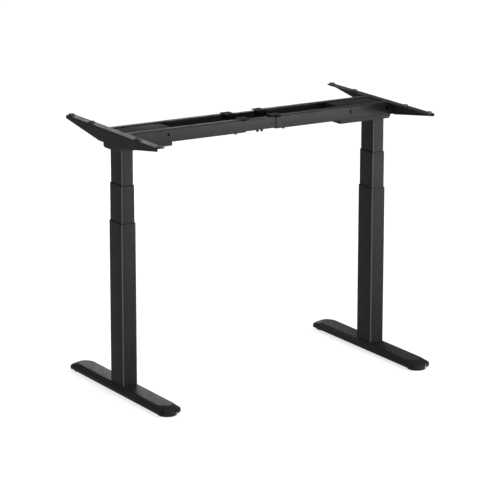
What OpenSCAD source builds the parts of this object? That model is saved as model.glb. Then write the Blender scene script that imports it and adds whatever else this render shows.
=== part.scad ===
// Standing desk frame: two telescopic lifting columns on long feet, a width-adjusting
// twin-rail beam between their heads, and a side arm on each head for the desk top.
// Origin on the floor midway between the columns, +X along the beam, +Y away from the
// front, +Z up. One side is drawn about its own column axis with +X pointing outwards.

/* [Frame] */
// Gap that the beam is pulled apart to, between the inner ends of the left and right rails
rail_gap = 116; // [60:1:240]
// Clear gap of nested pieces of one body
fit_gap = 0.2; // [0.1:0.05:0.3]
// Clear gap between pieces that slide or turn past each other
slide_gap = 0.3; // [0.2:0.05:0.4]

/* [Feet] */
// Length of a foot, front to back
foot_len = 628; // [560:1:720]
// Width of a foot at its skirt
foot_w = 82; // [76:1:96]
// Width of the flat top of a foot
foot_top_w = 55; // [52:1:64]
// Height of the pressed shell of a foot
foot_h = 23; // [21:0.5:30]
// Height of the upright skirt of the shell
skirt_h = 11.5; // [9:0.5:14]
// Sheet of the shell
foot_sheet = 3; // [2:0.5:4]
// How far each end of the skirt bows out past its corners
skirt_bow = 20; // [12:1:28]
// How far each end of the flat top bows out past its corners
top_bow = 38; // [30:1:46]
// Distance from the tip of the skirt back to the tip of the flat top
end_slope = 26; // [18:1:34]
// Width of the opening in each end wall, in front of the glide
end_notch_w = 66; // [60:1:70]

/* [Glides] */
// Diameter of a levelling glide
glide_d = 62; // [50:1:64]
// Height of a glide's cup
glide_h = 20; // [17:0.5:20]
// How much of a glide shows below the shell
glide_show = 9; // [6:0.5:14]
// Distance from the tip of the foot to the glide's axis
glide_inset = 35; // [33:1:60]
// Wall of the glide's cup
glide_wall = 3; // [2:0.5:4]
// Diameter of the glide's threaded stud
stud_d = 8; // [6:1:10]

/* [Columns] */
// Width of the outer tube, along the beam
outer_w = 52; // [48:1:60]
// Depth of the outer tube, front to back
outer_d = 84; // [78:1:90]
// Wall of the tubes
tube_wall = 1.5; // [1.25:0.05:1.6]
// Clear gap between one tube and the next
tube_gap = 1; // [0.9:0.05:1.1]
// Radius of the outer tube's edges
tube_corner_r = 3.5; // [3.5:0.5:8]
// Length of the outer tube
outer_len = 537; // [500:1:600]
// Length of the middle tube
middle_len = 530; // [480:1:550]
// Length of the inner tube
inner_len = 510; // [470:1:530]
// How much of the middle tube shows
middle_show = 123; // [100:1:200]
// How much of the inner tube shows below the head
inner_show = 114; // [100:0.5:200]

/* [Beam] */
// Distance over the outer faces of the two rails
rail_spread = 132; // [126:1:150]
// Height of a rail
rail_h = 43.5; // [38:0.5:50]
// Width of a rail's flanges
rail_flange = 20; // [18:0.5:22]
// Sheet of the rails
rail_sheet = 2.5; // [2:0.25:3]
// Length of each outer rail
rail_len = 457; // [440:1:460]
// How far the centre rails can still slide towards each head
centre_travel = 53; // [45:1:90]
// Gap between a centre rail and the outer rail round it
nest_gap = 0.4; // [0.3:0.05:0.5]

/* [Heads] */
// Length of a head, along the beam
head_len = 199; // [196:1:204]
// How far a head hangs below the rails
head_drop = 17; // [14:0.5:19]
// Sheet of the head and its cover
head_sheet = 2; // [1.5:0.25:2.5]
// Diameter of the motor
motor_d = 49; // [44:1:50]

/* [Arms] */
// Sheet of an arm
arm_sheet = 2.5; // [2:0.25:3]
// Width of an arm's top flange
arm_flange = 30; // [29:0.5:34]
// Height of an arm at its tips
arm_tip_h = 10.5; // [8:0.5:14]
// Distance from the column's axis out to the arm's face
arm_reach = 41; // [40.5:0.5:44]
// Diameter of the rubber pads
pad_d = 21; // [19:0.5:22]
// Height of the pads above the arm
pad_h = 4.5; // [3:0.5:6]
// Diameter of the screw hole through each pad
pad_bore_d = 6; // [5:0.5:7]
// Distance between the outer pads of an arm
pad_span = 575; // [530:1:620]
// Distance between the inner pads of an arm
pad_inner_span = 302; // [260:1:340]
// Distance from the tip of an arm to the middle of its outer pad
pad_end = 10.5; // [10.5:0.5:20]

/* [Drive] */
// Diameter of the fixed lower screw
lower_screw_d = 16; // [15:0.5:16]
// Diameter of the hollow screw
hollow_screw_d = 24; // [22.5:0.5:25]
// Width across the flats of the drive rod
rod_flats = 8; // [7:0.5:8]

/* [Hidden] */

// How far cuts run past the faces that they open
overrun = 1;
// Segments of full circles, and of each bowed end of a foot
$fn = 64;
end_steps = 12;
// Half angles of the arcs that bow the ends of a foot's skirt and of its flat top
skirt_angle = 52;
top_angle = 90;
// Sides of the frame, as the sign of X
left = -1;
right = 1;
// Powder coat, bare steel, nylon and rubber
coat = "#2b2c2e";
coat_light = "#333437";
steel = "#8d8f92";
nylon = "#1c1c1e";
rubber = "#141415";

// Plan of one side: outer end of the head, gap of the rails to it, and the column's axis
head_end_x = arm_reach - arm_sheet;
rail_end_gap = 2.5;
column_x = rail_len + rail_gap / 2 + rail_end_gap - head_end_x;

// Heights of the stack, from the floor up
skirt_z = glide_show;
foot_top_z = glide_show + foot_h;
outer_top_z = foot_top_z + outer_len;
middle_top_z = outer_top_z + middle_show;
middle_z = middle_top_z - middle_len;
head_z = middle_top_z + inner_show;
rail_z = head_z + head_drop;
top_z = rail_z + rail_h;
head_top_z = top_z - rail_sheet;

// Tube of each stage: 0 outer, 1 middle, 2 inner
stage_step = tube_wall + tube_gap;
// Edge radius lost from one stage to the next
corner_loss = 0.5;
// Height of the rim of a guide above the tube that holds it, and its inset from the tube's face
rim_h = 1.2;
rim_inset = 0.5;
// How far a guide reaches down into its tube
guide_depth = 60;
// Bottom sliders: flange under the tube, plug inside it, skirt round it
slider_flange_h = 4;
slider_plug_h = 20;
slider_skirt_h = 60;

// Foot bolts and the plate that they pull the column down with
base_plate_h = 8;
foot_bolt_d = 8;
foot_bolt_head_d = 13;
foot_bolt_head_h = 5;
foot_bolt_x = 14;
foot_bolt_y = 28;

// Nut boss over each glide, the lock nut on its stud, and the glide's floor
boss_d = 18;
boss_depth = 19;
glide_floor = 5;
glide_round = 2;
nut_flats = 13;
stud_top_gap = 1;

// Drive line inside the columns: each screw ends below the mouth of its tube
screw_base_d = 28;
screw_base_h = 4;
lower_screw_drop = 149;
lower_screw_len = outer_len - base_plate_h - lower_screw_drop;
rod_bore_play = 0.8;
journal_d = 21;
journal_drop = 2;
hollow_screw_drop = 34;
hollow_screw_len = middle_len - hollow_screw_drop;
hex_socket_h = 16;
hex_gap = 0.3;
rod_journal_d = 10;
rod_journal_h = 34;
rod_drop = 18;
nut_body_d = 32;
nut_body_h = 24;
nut_flange_w = 34;
nut_flange_d = 44;
nut_flange_h = 6;

// Head: inner end, width, corners, and how far its lid stays inside its walls' faces
head_start_x = head_end_x - head_len;
head_w = rail_spread - 2 * rail_flange - 3 * fit_gap;
head_corner_r = 4;
lid_inset = 0.6;
// Height of the inner tube's end above the head's floor
tube_in_head = 8;
inner_top_z = head_z + head_sheet + tube_in_head;
inner_z = inner_top_z - inner_len;
// How far the drive rod hangs down into the lower screw
rod_dip = 19.5;
rod_len = inner_top_z - rod_drop - foot_top_z - base_plate_h - lower_screw_len + rod_dip;

// Gearbox on top of the inner tube, and its four bolts
gearbox_w = 68;
gearbox_d = 76;
gearbox_h = 39;
gearbox_edge_r = 4;
spigot_h = 9;
lug_x = 27.5;
lug_y = 30;
lug_d = 12;
lug_ledge_h = 7;
head_bolt_d = 6;
head_bolt_head_d = 10;
head_bolt_head_h = 6;

// Motor beside the gearbox
motor_flange_h = 4;
motor_body_len = 96;
motor_neck_d = 40;
motor_cap_d = 42;
motor_cap_h = 6;
socket_len = 8;
socket_w = 22;
socket_h = 12;
lead_hole_d = 14;

// Blocks on the head that reach into the rails
ear_x = 4;
ear_len = 32;
block_x = -133;
block_len = 16;
access_x = 14.5;
access_up = 24.5;
access_d = 14;
access_depth = 14;
access_bore_d = 11;
slot_up = 25.5;
slot_w = 6.5;
slot_h = 12;
tongue_sink = 1;

// Flush screws: countersunk, of one size, in the arms and under the rails
flush_d = 6;
flush_head_d = 11;
flush_head_h = 2.3;
flush_len = 15;
arm_screw_x = 28;
arm_screw_y = 50;
rail_screw_x = 26;
rail_screw_y = 55;

// Rails: their bends, their inner ends, and the length of the centre rails
bend_r = 3;
rail_in_x = head_end_x - rail_end_gap - rail_len;
centre_len = 2 * (column_x + block_x - block_len / 2 - centre_travel);

// Arms: length, slope from the tip to the middle, and the lug that covers the head's end,
// whose lower edge stays above the head's
arm_len = pad_span + 2 * pad_end;
arm_slope_end_y = 75;
arm_slope_start = 1;
lug_half = 45.5;
lug_chamfer = 5.5;
lug_chamfer_h = 4;
lug_up = 2.5;
arm_corner_r = 6;

// Pads: their place on the flange, neck, barb and rounded top
pad_x = 26;
pad_hole_d = 10;
pad_barb_d = 12.4;
pad_barb_h = 1.5;
pad_round = 1;

// Nylon clips over the inner ends of the outer rails
clip_len = 35;
clip_past_end = 16;
clip_sheet = 2;
clip_reach = 38;
clip_leg_h = 16;
clip_leg_w = 14;
clip_tab_len = 16;
clip_tab_drop = 5;
clip_tab_sheet = 1.5;
clip_notch_w = 6;

// Lock screws under the outer rails, and the bolts of the centre brace
small_bolt_d = 6;
small_head_d = 10;
lock_head_h = 3.5;
lock_from_end = 33;
small_bolt_y = 56;
brace_w = 44;
brace_sheet = 2.5;
brace_bolt_x = 8;
brace_bolt_up = 7.5;
brace_head_h = 6.5;
centre_edge_play = 0.6;

function stage_w(k) = outer_w - 2 * k * stage_step;
function stage_d(k) = outer_d - 2 * k * stage_step;
function stage_r(k) = tube_corner_r - k * corner_loss;
function bore_r(k) = stage_r(k) - tube_wall;

// Half of the bowed end of a foot's outline, drawn from one corner to the other
function bowed_end(half_w, tip, bow, angle) = [
    for (i = [0 : end_steps])
        let (a = angle * (2 * i / end_steps - 1))
            [half_w * sin(a) / sin(angle), tip - bow * (1 - cos(a)) / (1 - cos(angle))]
];

// Circle radius of a hexagon with the given width across its flats
function hex_r(flats) = flats / sqrt(3);

// Puts a piece of one side at its column
module at_side(side) {
    translate([side * column_x, 0, 0])
        mirror([side < 0 ? 1 : 0, 0, 0])
            children();
}

// Draws children at the front and, turned over, at the back
module front_and_back() {
    children();
    mirror([0, 1, 0])
        children();
}

// Flat rectangle with round corners
module round_rect(w, d, r) {
    square([w - 2 * r, d], center = true);
    square([w, d - 2 * r], center = true);
    for (x = [-1, 1], y = [-1, 1])
        translate([x * (w / 2 - r), y * (d / 2 - r)])
            circle(r);
}

// Section of one tube stage
module tube_section(k) {
    difference() {
        round_rect(stage_w(k), stage_d(k), stage_r(k));
        round_rect(stage_w(k) - 2 * tube_wall, stage_d(k) - 2 * tube_wall, bore_r(k));
    }
}

// Section of a channel rail that opens to +Y, with its web's outer face on the X axis
module channel_section(h, flange, sheet, r) {
    difference() {
        translate([flange / 2, h / 2])
            round_rect(flange, h, r);
        translate([flange / 2, h / 2])
            round_rect(flange - 2 * sheet, h - 2 * sheet, r - sheet);
        translate([flange / 2, sheet])
            square([flange, h - 2 * sheet]);
    }
    for (y = [0, h - sheet])
        translate([flange / 2, y])
            square([flange / 2, sheet]);
}

// Channel rail along X from x0, with its web's face at the front of the frame
module channel(x0, len, h, flange, sheet, r, face_y, z) {
    translate([x0, face_y, z])
        rotate([90, 0, 90])
            linear_extrude(len)
                channel_section(h, flange, sheet, r);
}

// One closed layer of the foot, from two bowed ends
module foot_layer(w, len, bow, angle) {
    end = bowed_end(w / 2, len / 2, bow, angle);
    polygon(concat(end, [for (p = end) -p]));
}

// Outline of the skirt, drawn in by the given sheet
module skirt_layer(inset) {
    foot_layer(foot_w - 2 * inset, foot_len - 2 * inset, skirt_bow, skirt_angle);
}

// Solid shape of the foot, drawn in by the given sheet
module foot_form(inset) {
    hull() {
        translate([0, 0, skirt_z])
            linear_extrude(skirt_h)
                skirt_layer(inset);
        translate([0, 0, foot_top_z - inset - fit_gap])
            linear_extrude(fit_gap)
                foot_layer(foot_top_w - 2 * inset, foot_len - 2 * end_slope - 2 * inset, top_bow, top_angle);
    }
}

// Places of a foot's two glides
module at_glide(end) {
    translate([0, end * (foot_len / 2 - glide_inset), 0])
        children();
}

// Pressed shell of a foot, with a nut boss over each glide and holes for the column's bolts
module foot() {
    color(coat_light)
        difference() {
            union() {
                difference() {
                    foot_form(0);
                    foot_form(foot_sheet);
                    translate([0, 0, skirt_z - overrun])
                        linear_extrude(overrun + fit_gap)
                            skirt_layer(foot_sheet);
                    front_and_back()
                        translate([-end_notch_w / 2, foot_len / 2 - skirt_bow, skirt_z - overrun])
                            cube([end_notch_w, skirt_bow + overrun, skirt_h + overrun]);
                }
                for (end = [-1, 1])
                    at_glide(end)
                        translate([0, 0, foot_top_z - foot_sheet - boss_depth])
                            cylinder(d = boss_d, h = boss_depth + foot_sheet / 2);
            }
            for (end = [-1, 1])
                at_glide(end)
                    translate([0, 0, foot_top_z - foot_sheet - boss_depth - overrun])
                        cylinder(d = stud_d + 2 * slide_gap, h = boss_depth + overrun);
            at_foot_bolts()
                translate([0, 0, foot_top_z - foot_sheet - overrun])
                    cylinder(d = foot_bolt_d + 2 * fit_gap, h = foot_sheet + 2 * overrun);
        }
}

// Places of the four bolts under a column
module at_foot_bolts() {
    for (x = [-1, 1], y = [-1, 1])
        translate([x * foot_bolt_x, y * foot_bolt_y, 0])
            children();
}

// Bolts from inside the foot up into the base plate
module foot_bolts() {
    color(steel)
        at_foot_bolts()
            translate([0, 0, foot_top_z - foot_sheet - foot_bolt_head_h]) {
                cylinder(r = hex_r(foot_bolt_head_d), h = foot_bolt_head_h, $fn = 6);
                cylinder(d = foot_bolt_d, h = foot_bolt_head_h + foot_sheet + base_plate_h);
            }
}

// Plate welded into the bottom of the outer tube
module base_plate() {
    inset = tube_wall + fit_gap;
    color(steel)
        difference() {
            translate([0, 0, foot_top_z])
                linear_extrude(base_plate_h)
                    round_rect(outer_w - 2 * inset, outer_d - 2 * inset, tube_corner_r - inset);
            at_foot_bolts()
                translate([0, 0, foot_top_z - overrun])
                    cylinder(d = foot_bolt_d + 2 * fit_gap, h = base_plate_h + 2 * overrun);
        }
}

// Tube of one stage, standing at z
module tube(k, z, len) {
    color(coat)
        translate([0, 0, z])
            linear_extrude(len)
                tube_section(k);
}

// Nylon guide in the mouth of tube k, round the next tube in
module guide(k, top) {
    inner_w = stage_w(k + 1) + 2 * slide_gap;
    inner_d = stage_d(k + 1) + 2 * slide_gap;
    inner_r = stage_r(k + 1) + slide_gap;
    rim_w = stage_w(k) - 2 * rim_inset;
    rim_d = stage_d(k) - 2 * rim_inset;
    liner = tube_wall + fit_gap / 2;
    color(nylon)
        difference() {
            union() {
                translate([0, 0, top - guide_depth])
                    linear_extrude(guide_depth)
                        round_rect(stage_w(k) - 2 * liner, stage_d(k) - 2 * liner, bore_r(k));
                translate([0, 0, top])
                    linear_extrude(rim_h)
                        round_rect(rim_w, rim_d, stage_r(k) - rim_inset);
            }
            translate([0, 0, top - guide_depth - overrun])
                linear_extrude(guide_depth + rim_h + 2 * overrun)
                    round_rect(inner_w, inner_d, inner_r);
        }
}

// Nylon slider on the bottom of tube k: flange, plug and skirt, with a bore round the drive
module slider(k, z, drive_d, gap) {
    bore_d = drive_d + 2 * gap;
    run_w = stage_w(k - 1) - 2 * tube_wall - 2 * slide_gap;
    run_d = stage_d(k - 1) - 2 * tube_wall - 2 * slide_gap;
    run_r = bore_r(k - 1) - slide_gap;
    plug_inset = tube_wall + fit_gap;
    plug_w = stage_w(k) - 2 * plug_inset;
    plug_d = stage_d(k) - 2 * plug_inset;
    color(nylon)
        difference() {
            union() {
                difference() {
                    translate([0, 0, z - slider_flange_h])
                        linear_extrude(slider_flange_h + slider_skirt_h)
                            round_rect(run_w, run_d, run_r);
                    translate([0, 0, z])
                        linear_extrude(slider_skirt_h + overrun)
                            round_rect(stage_w(k) + fit_gap, stage_d(k) + fit_gap, stage_r(k));
                }
                translate([0, 0, z])
                    linear_extrude(slider_plug_h)
                        round_rect(plug_w, plug_d, bore_r(k) - fit_gap);
            }
            translate([0, 0, z - slider_flange_h - overrun])
                cylinder(d = bore_d, h = slider_flange_h + slider_plug_h + 2 * overrun);
        }
}

// Slider of the middle tube, which carries the hollow screw at its journal
module middle_slider() {
    slider(1, middle_z, journal_d, slide_gap);
}

// Slider of the inner tube, which carries the screw nut
module inner_slider() {
    slider(2, inner_z, hollow_screw_d, 2 * slide_gap);
}

// Fixed lower screw, standing on the base plate, bored for the drive rod
module lower_screw() {
    bore_d = 2 * (hex_r(rod_flats) + rod_bore_play);
    color(steel)
        translate([0, 0, foot_top_z + base_plate_h])
            difference() {
                union() {
                    cylinder(d = screw_base_d, h = screw_base_h);
                    cylinder(d = lower_screw_d, h = lower_screw_len);
                }
                translate([0, 0, screw_base_h])
                    cylinder(d = bore_d, h = lower_screw_len);
            }
}

// Hollow screw that turns in the middle tube, with a hexagonal socket at its top
module hollow_screw() {
    shoulder_z = middle_z + slider_plug_h + slide_gap;
    top = middle_z + hollow_screw_len;
    bottom = middle_z - journal_drop;
    bore_d = lower_screw_d + 2 * slide_gap;
    color(steel)
        difference() {
            union() {
                translate([0, 0, bottom])
                    cylinder(d = journal_d, h = shoulder_z - bottom);
                translate([0, 0, shoulder_z])
                    cylinder(d = hollow_screw_d, h = top - shoulder_z);
            }
            translate([0, 0, bottom - overrun])
                cylinder(d = bore_d, h = top - hex_socket_h - bottom + overrun);
            translate([0, 0, bottom])
                cylinder(r = hex_r(rod_flats + 2 * hex_gap), h = top - bottom + overrun, $fn = 6);
        }
}

// Nut on the bottom slider of the inner tube, round the hollow screw
module screw_nut() {
    seat_z = inner_z + slider_plug_h;
    color(steel)
        difference() {
            union() {
                translate([-nut_flange_w / 2, -nut_flange_d / 2, seat_z])
                    cube([nut_flange_w, nut_flange_d, nut_flange_h]);
                translate([0, 0, seat_z])
                    cylinder(d = nut_body_d, h = nut_body_h);
            }
            translate([0, 0, seat_z - overrun])
                cylinder(d = hollow_screw_d + 2 * slide_gap, h = nut_body_h + 2 * overrun);
        }
}

// Hexagonal rod that hangs from the gearbox and turns the hollow screw
module drive_rod() {
    journal_z = inner_top_z - rod_drop;
    color(steel) {
        translate([0, 0, journal_z - rod_len])
            cylinder(r = hex_r(rod_flats), h = rod_len, $fn = 6);
        translate([0, 0, journal_z])
            cylinder(d = rod_journal_d, h = rod_journal_h);
    }
}

// Places of the gearbox's four bolts
module at_head_bolts() {
    for (x = [-1, 1], y = [-1, 1])
        translate([x * lug_x, y * lug_y, 0])
            children();
}

// Gearbox: block on the tube's end, spigot inside the tube, and posts down to the head's floor
module gearbox() {
    spigot_w = stage_w(2) - 2 * (tube_wall + fit_gap);
    spigot_d = stage_d(2) - 2 * (tube_wall + fit_gap);
    journal_top = inner_top_z + rod_journal_h - rod_drop + slide_gap;
    color(steel)
        difference() {
            union() {
                translate([0, 0, inner_top_z])
                    linear_extrude(gearbox_h)
                        round_rect(gearbox_w, gearbox_d, gearbox_edge_r);
                translate([0, 0, inner_top_z - spigot_h])
                    linear_extrude(spigot_h)
                        round_rect(spigot_w, spigot_d, bore_r(2) - fit_gap);
                at_head_bolts()
                    translate([0, 0, head_z + head_sheet])
                        cylinder(d = lug_d, h = tube_in_head + fit_gap);
            }
            translate([0, 0, head_z])
                cylinder(d = rod_journal_d + 2 * slide_gap, h = journal_top - head_z);
            at_head_bolts() {
                translate([0, 0, head_z])
                    cylinder(d = head_bolt_d + 2 * fit_gap, h = gearbox_h);
                translate([0, 0, inner_top_z + lug_ledge_h])
                    cylinder(d = lug_d + overrun, h = gearbox_h);
            }
        }
}

// Cap screws that clamp the gearbox to the head's floor
module head_bolts() {
    color(steel)
        at_head_bolts() {
            translate([0, 0, inner_top_z + lug_ledge_h])
                cylinder(d = head_bolt_head_d, h = head_bolt_head_h);
            translate([0, 0, head_z])
                cylinder(d = head_bolt_d, h = inner_top_z + lug_ledge_h + fit_gap - head_z);
        }
}

// Motor on the gearbox's inner face, with its plug socket at the far end
module motor() {
    axis_z = (head_z + head_sheet + head_top_z - head_sheet) / 2;
    flange_x = -gearbox_w / 2;
    body_x = flange_x - motor_flange_h;
    color("#3a3b3d")
        translate([flange_x, 0, axis_z])
            rotate([0, -90, 0]) {
                cylinder(d = motor_neck_d, h = motor_flange_h);
                translate([0, 0, motor_flange_h])
                    cylinder(d = motor_d, h = motor_body_len);
                translate([0, 0, motor_flange_h + motor_body_len])
                    cylinder(d = motor_cap_d, h = motor_cap_h);
            }
    color(nylon)
        translate([body_x - motor_body_len - motor_cap_h - socket_len, -socket_w / 2, axis_z - socket_h / 2])
            cube([socket_len, socket_w, socket_h]);
}

// Plan of the head, drawn in by the given amount
module head_plan(inset) {
    translate([(head_start_x + head_end_x) / 2, 0])
        round_rect(head_len - 2 * inset, head_w - 2 * inset, max(head_corner_r - inset, head_sheet));
}

// Block on the head's front side that reaches into the front rail
module head_block(x0, len) {
    reach = rail_spread / 2 - rail_sheet - slide_gap;
    root = head_w / 2 - head_sheet / 2;
    translate([x0, -reach, rail_z + rail_sheet + fit_gap])
        cube([len, reach - root, rail_h - 2 * rail_sheet - 2 * fit_gap]);
}

// Head: folded box that joins the column, the rails and the arm
module head() {
    color(coat)
        difference() {
            union() {
                difference() {
                    translate([0, 0, head_z])
                        linear_extrude(head_top_z - head_sheet - head_z)
                            head_plan(0);
                    translate([0, 0, head_z + head_sheet])
                        linear_extrude(head_top_z)
                            head_plan(head_sheet);
                }
                front_and_back() {
                    head_block(ear_x, ear_len);
                    head_block(block_x - block_len / 2, block_len);
                    slot_tongue();
                }
            }
            translate([0, 0, head_top_z - head_sheet])
                linear_extrude(head_sheet + overrun)
                    head_plan(0);
            translate([0, 0, head_z - overrun])
                linear_extrude(head_sheet + 2 * overrun)
                    round_rect(stage_w(2) + 2 * fit_gap, stage_d(2) + 2 * fit_gap, stage_r(2) + fit_gap);
            at_head_bolts()
                translate([0, 0, head_z - overrun])
                    cylinder(d = head_bolt_d + 2 * fit_gap, h = head_sheet + 2 * overrun);
            front_and_back() {
                access_bore();
                at_arm_screw()
                    flush_screw_hole();
                at_rail_screws()
                    flush_screw_hole();
            }
            lead_hole();
        }
}

// Tongue of the inner block, in the slot of the rail's web
module slot_tongue() {
    reach = rail_spread / 2 - tongue_sink;
    root = rail_spread / 2 - rail_sheet - 2 * slide_gap;
    translate([block_x - slot_w / 2 + slide_gap, -reach, rail_z + slot_up - slot_h / 2 + slide_gap])
        cube([slot_w - 2 * slide_gap, reach - root, slot_h - 2 * slide_gap]);
}

// Blind bore in the ear, behind the access hole of the rail
module access_bore() {
    mouth_y = rail_spread / 2;
    translate([access_x, -mouth_y, rail_z + access_up])
        rotate([-90, 0, 0])
            cylinder(d = access_bore_d, h = rail_sheet + access_depth);
}

// Hole for the motor's lead in the inner end of the head
module lead_hole() {
    translate([head_start_x - overrun, 0, head_z + head_sheet + lead_hole_d])
        rotate([0, 90, 0])
            cylinder(d = lead_hole_d, h = head_sheet + 2 * overrun);
}

// Lid of the head, with a lip inside its walls
module head_cover() {
    lip_inset = head_sheet + fit_gap;
    color(coat_light) {
        translate([0, 0, head_top_z - head_sheet])
            linear_extrude(head_sheet)
                head_plan(lid_inset);
        translate([0, 0, head_top_z - 2 * head_sheet - fit_gap])
            linear_extrude(head_sheet + fit_gap)
                difference() {
                    head_plan(lip_inset);
                    head_plan(lip_inset + head_sheet / 2);
                }
    }
}

// Countersunk screw with its head's face on the XY plane, pointing down
module flush_screw() {
    translate([0, 0, -flush_head_h])
        cylinder(d1 = flush_d, d2 = flush_head_d, h = flush_head_h);
    translate([0, 0, -flush_len])
        cylinder(d = flush_d, h = flush_len - flush_head_h / 2);
}

// Countersunk hole for that screw
module flush_screw_hole() {
    play = 2 * fit_gap;
    translate([0, 0, -flush_head_h])
        cylinder(d1 = flush_d + play, d2 = flush_head_d + play, h = flush_head_h);
    cylinder(d = flush_head_d + play, h = overrun);
    translate([0, 0, -flush_len - fit_gap])
        cylinder(d = flush_d + play, h = flush_len);
}

// Place of the front screw through the arm's flange
module at_arm_screw() {
    translate([arm_screw_x, -arm_screw_y, top_z])
        children();
}

// Places of the two screws under the front rail, pointing up
module at_rail_screws() {
    for (x = [block_x, rail_screw_x])
        translate([x, -rail_screw_y, rail_z])
            mirror([0, 0, 1])
                children();
}

// Six flush screws of one head: two in the arm, four under the rails
module flush_screws() {
    color(nylon)
        front_and_back() {
            at_arm_screw()
                flush_screw();
            at_rail_screws()
                flush_screw();
        }
}

// Front outer rail of one side, cut down under the arm's flange
module outer_rail() {
    flange_x = arm_reach - arm_flange - slide_gap;
    color(coat)
        difference() {
            channel(rail_in_x, rail_len, rail_h, rail_flange, rail_sheet, bend_r, -rail_spread / 2, rail_z);
            translate([flange_x, -rail_spread / 2 - overrun, top_z - arm_sheet - slide_gap])
                cube([arm_flange, rail_flange + 2 * overrun, arm_sheet + slide_gap + overrun]);
            translate([access_x, -rail_spread / 2 - overrun, rail_z + access_up])
                rotate([-90, 0, 0])
                    cylinder(d = access_d, h = rail_sheet + 2 * overrun);
            translate([block_x - slot_w / 2, -rail_spread / 2 - overrun, rail_z + slot_up - slot_h / 2])
                cube([slot_w, rail_sheet + 2 * overrun, slot_h]);
            at_rail_screws()
                flush_screw_hole();
            at_lock_screw()
                cylinder(d = small_bolt_d + 2 * fit_gap, h = 2 * (rail_sheet + overrun), center = true);
        }
}

// Side view of an arm, from the lug in its middle to its tips
module arm_profile() {
    half = [
        [lug_half - lug_chamfer, head_z + lug_up],
        [lug_half, head_z + lug_up + lug_chamfer_h],
        [lug_half, rail_z],
        [arm_slope_end_y, rail_z],
        [arm_len / 2 - arm_slope_start, top_z - arm_tip_h],
        [arm_len / 2, top_z - arm_tip_h],
        [arm_len / 2, top_z]
    ];
    last = len(half) - 1;
    polygon(concat(half, [for (i = [last : -1 : 0]) [-half[i][0], half[i][1]]]));
}

// Places of an arm's four pads
module at_pads() {
    for (y = [-pad_span / 2, -pad_inner_span / 2, pad_inner_span / 2, pad_span / 2])
        translate([pad_x, y, top_z])
            children();
}

// Arm: folded plate that carries one end of the desk top
module arm() {
    flange_x = arm_reach - arm_flange;
    color(coat_light)
        difference() {
            intersection() {
                translate([0, arm_len / 2, 0])
                    rotate([90, 0, 0])
                        linear_extrude(arm_len)
                            arm_bend_section();
                translate([flange_x, 0, 0])
                    rotate([90, 0, 90])
                        linear_extrude(arm_flange)
                            arm_profile();
                arm_plan();
            }
            at_pads()
                translate([0, 0, -arm_sheet - overrun])
                    cylinder(d = pad_hole_d, h = arm_sheet + 2 * overrun);
            front_and_back()
                at_arm_screw()
                    flush_screw_hole();
        }
}

// Plan of an arm as a tall block, with the flange's free corners rounded
module arm_plan() {
    translate([arm_reach - arm_flange, 0, head_z - overrun])
        linear_extrude(top_z - head_z + 2 * overrun) {
            translate([arm_corner_r, -arm_len / 2])
                square([arm_flange - arm_corner_r, arm_len]);
            translate([0, -arm_len / 2 + arm_corner_r])
                square([arm_flange, arm_len - 2 * arm_corner_r]);
            for (y = [-1, 1])
                translate([arm_corner_r, y * (arm_len / 2 - arm_corner_r)])
                    circle(arm_corner_r);
        }
}

// Section of an arm across its bend
module arm_bend_section() {
    flange_x = arm_reach - arm_flange;
    translate([arm_reach - arm_sheet, head_z])
        square([arm_sheet, top_z - head_z - bend_r]);
    translate([flange_x, top_z - arm_sheet])
        square([arm_flange - bend_r, arm_sheet]);
    intersection() {
        translate([arm_reach - bend_r, top_z - bend_r])
            difference() {
                circle(bend_r);
                circle(bend_r - arm_sheet);
            }
        translate([arm_reach - bend_r, top_z - bend_r])
            square(bend_r);
    }
}

// Rubber pads, each snapped through its hole in the arm
module arm_pads() {
    color(rubber)
        at_pads()
            difference() {
                union() {
                    cylinder(d = pad_d, h = pad_h - pad_round);
                    translate([0, 0, pad_h - pad_round])
                        cylinder(d1 = pad_d, d2 = pad_d - 2 * pad_round, h = pad_round);
                    translate([0, 0, -arm_sheet])
                        cylinder(d = pad_hole_d - 2 * fit_gap, h = arm_sheet + fit_gap);
                    translate([0, 0, -arm_sheet - pad_barb_h])
                        cylinder(d1 = pad_hole_d - 2 * fit_gap, d2 = pad_barb_d, h = pad_barb_h);
                }
                translate([0, 0, -arm_sheet - pad_barb_h - overrun])
                    cylinder(d = pad_bore_d, h = arm_sheet + pad_barb_h + pad_h + 2 * overrun);
            }
}

// Nylon clip over the inner end of the front rail: cap, inner leg and tab on the web's face
module rail_clip() {
    x0 = rail_in_x - clip_past_end;
    face_y = -rail_spread / 2;
    inner_y = face_y + clip_reach;
    leg_y = face_y + rail_flange + fit_gap;
    difference() {
        translate([x0, face_y - clip_tab_sheet, top_z])
            cube([clip_len, clip_reach + clip_tab_sheet, clip_sheet]);
        translate([x0 - overrun, face_y - clip_tab_sheet - overrun, top_z - overrun])
            cube([clip_past_end + overrun, clip_tab_sheet + overrun, clip_sheet + 2 * overrun]);
        translate([x0 + clip_past_end + clip_tab_len, face_y - clip_tab_sheet - overrun, top_z - overrun])
            cube([clip_len, clip_tab_sheet + overrun, clip_sheet + 2 * overrun]);
        translate([x0 + clip_past_end - clip_notch_w / 2, face_y + clip_notch_w / 2, top_z + clip_sheet / 2])
            cube([clip_notch_w, clip_reach, clip_sheet]);
    }
    translate([x0, leg_y, top_z - clip_leg_h])
        cube([clip_len, inner_y - leg_y, clip_leg_h + clip_sheet / 2]);
    translate([x0 + clip_past_end, face_y - clip_tab_sheet, top_z - clip_tab_drop])
        cube([clip_tab_len, clip_tab_sheet, clip_tab_drop + clip_sheet / 2]);
}

// Clips on the front and back rails
module rail_clips() {
    color(nylon)
        front_and_back()
            rail_clip();
}

// Place of the lock screw under the front rail
module at_lock_screw() {
    translate([rail_in_x + lock_from_end, -small_bolt_y, rail_z])
        children();
}

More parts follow.
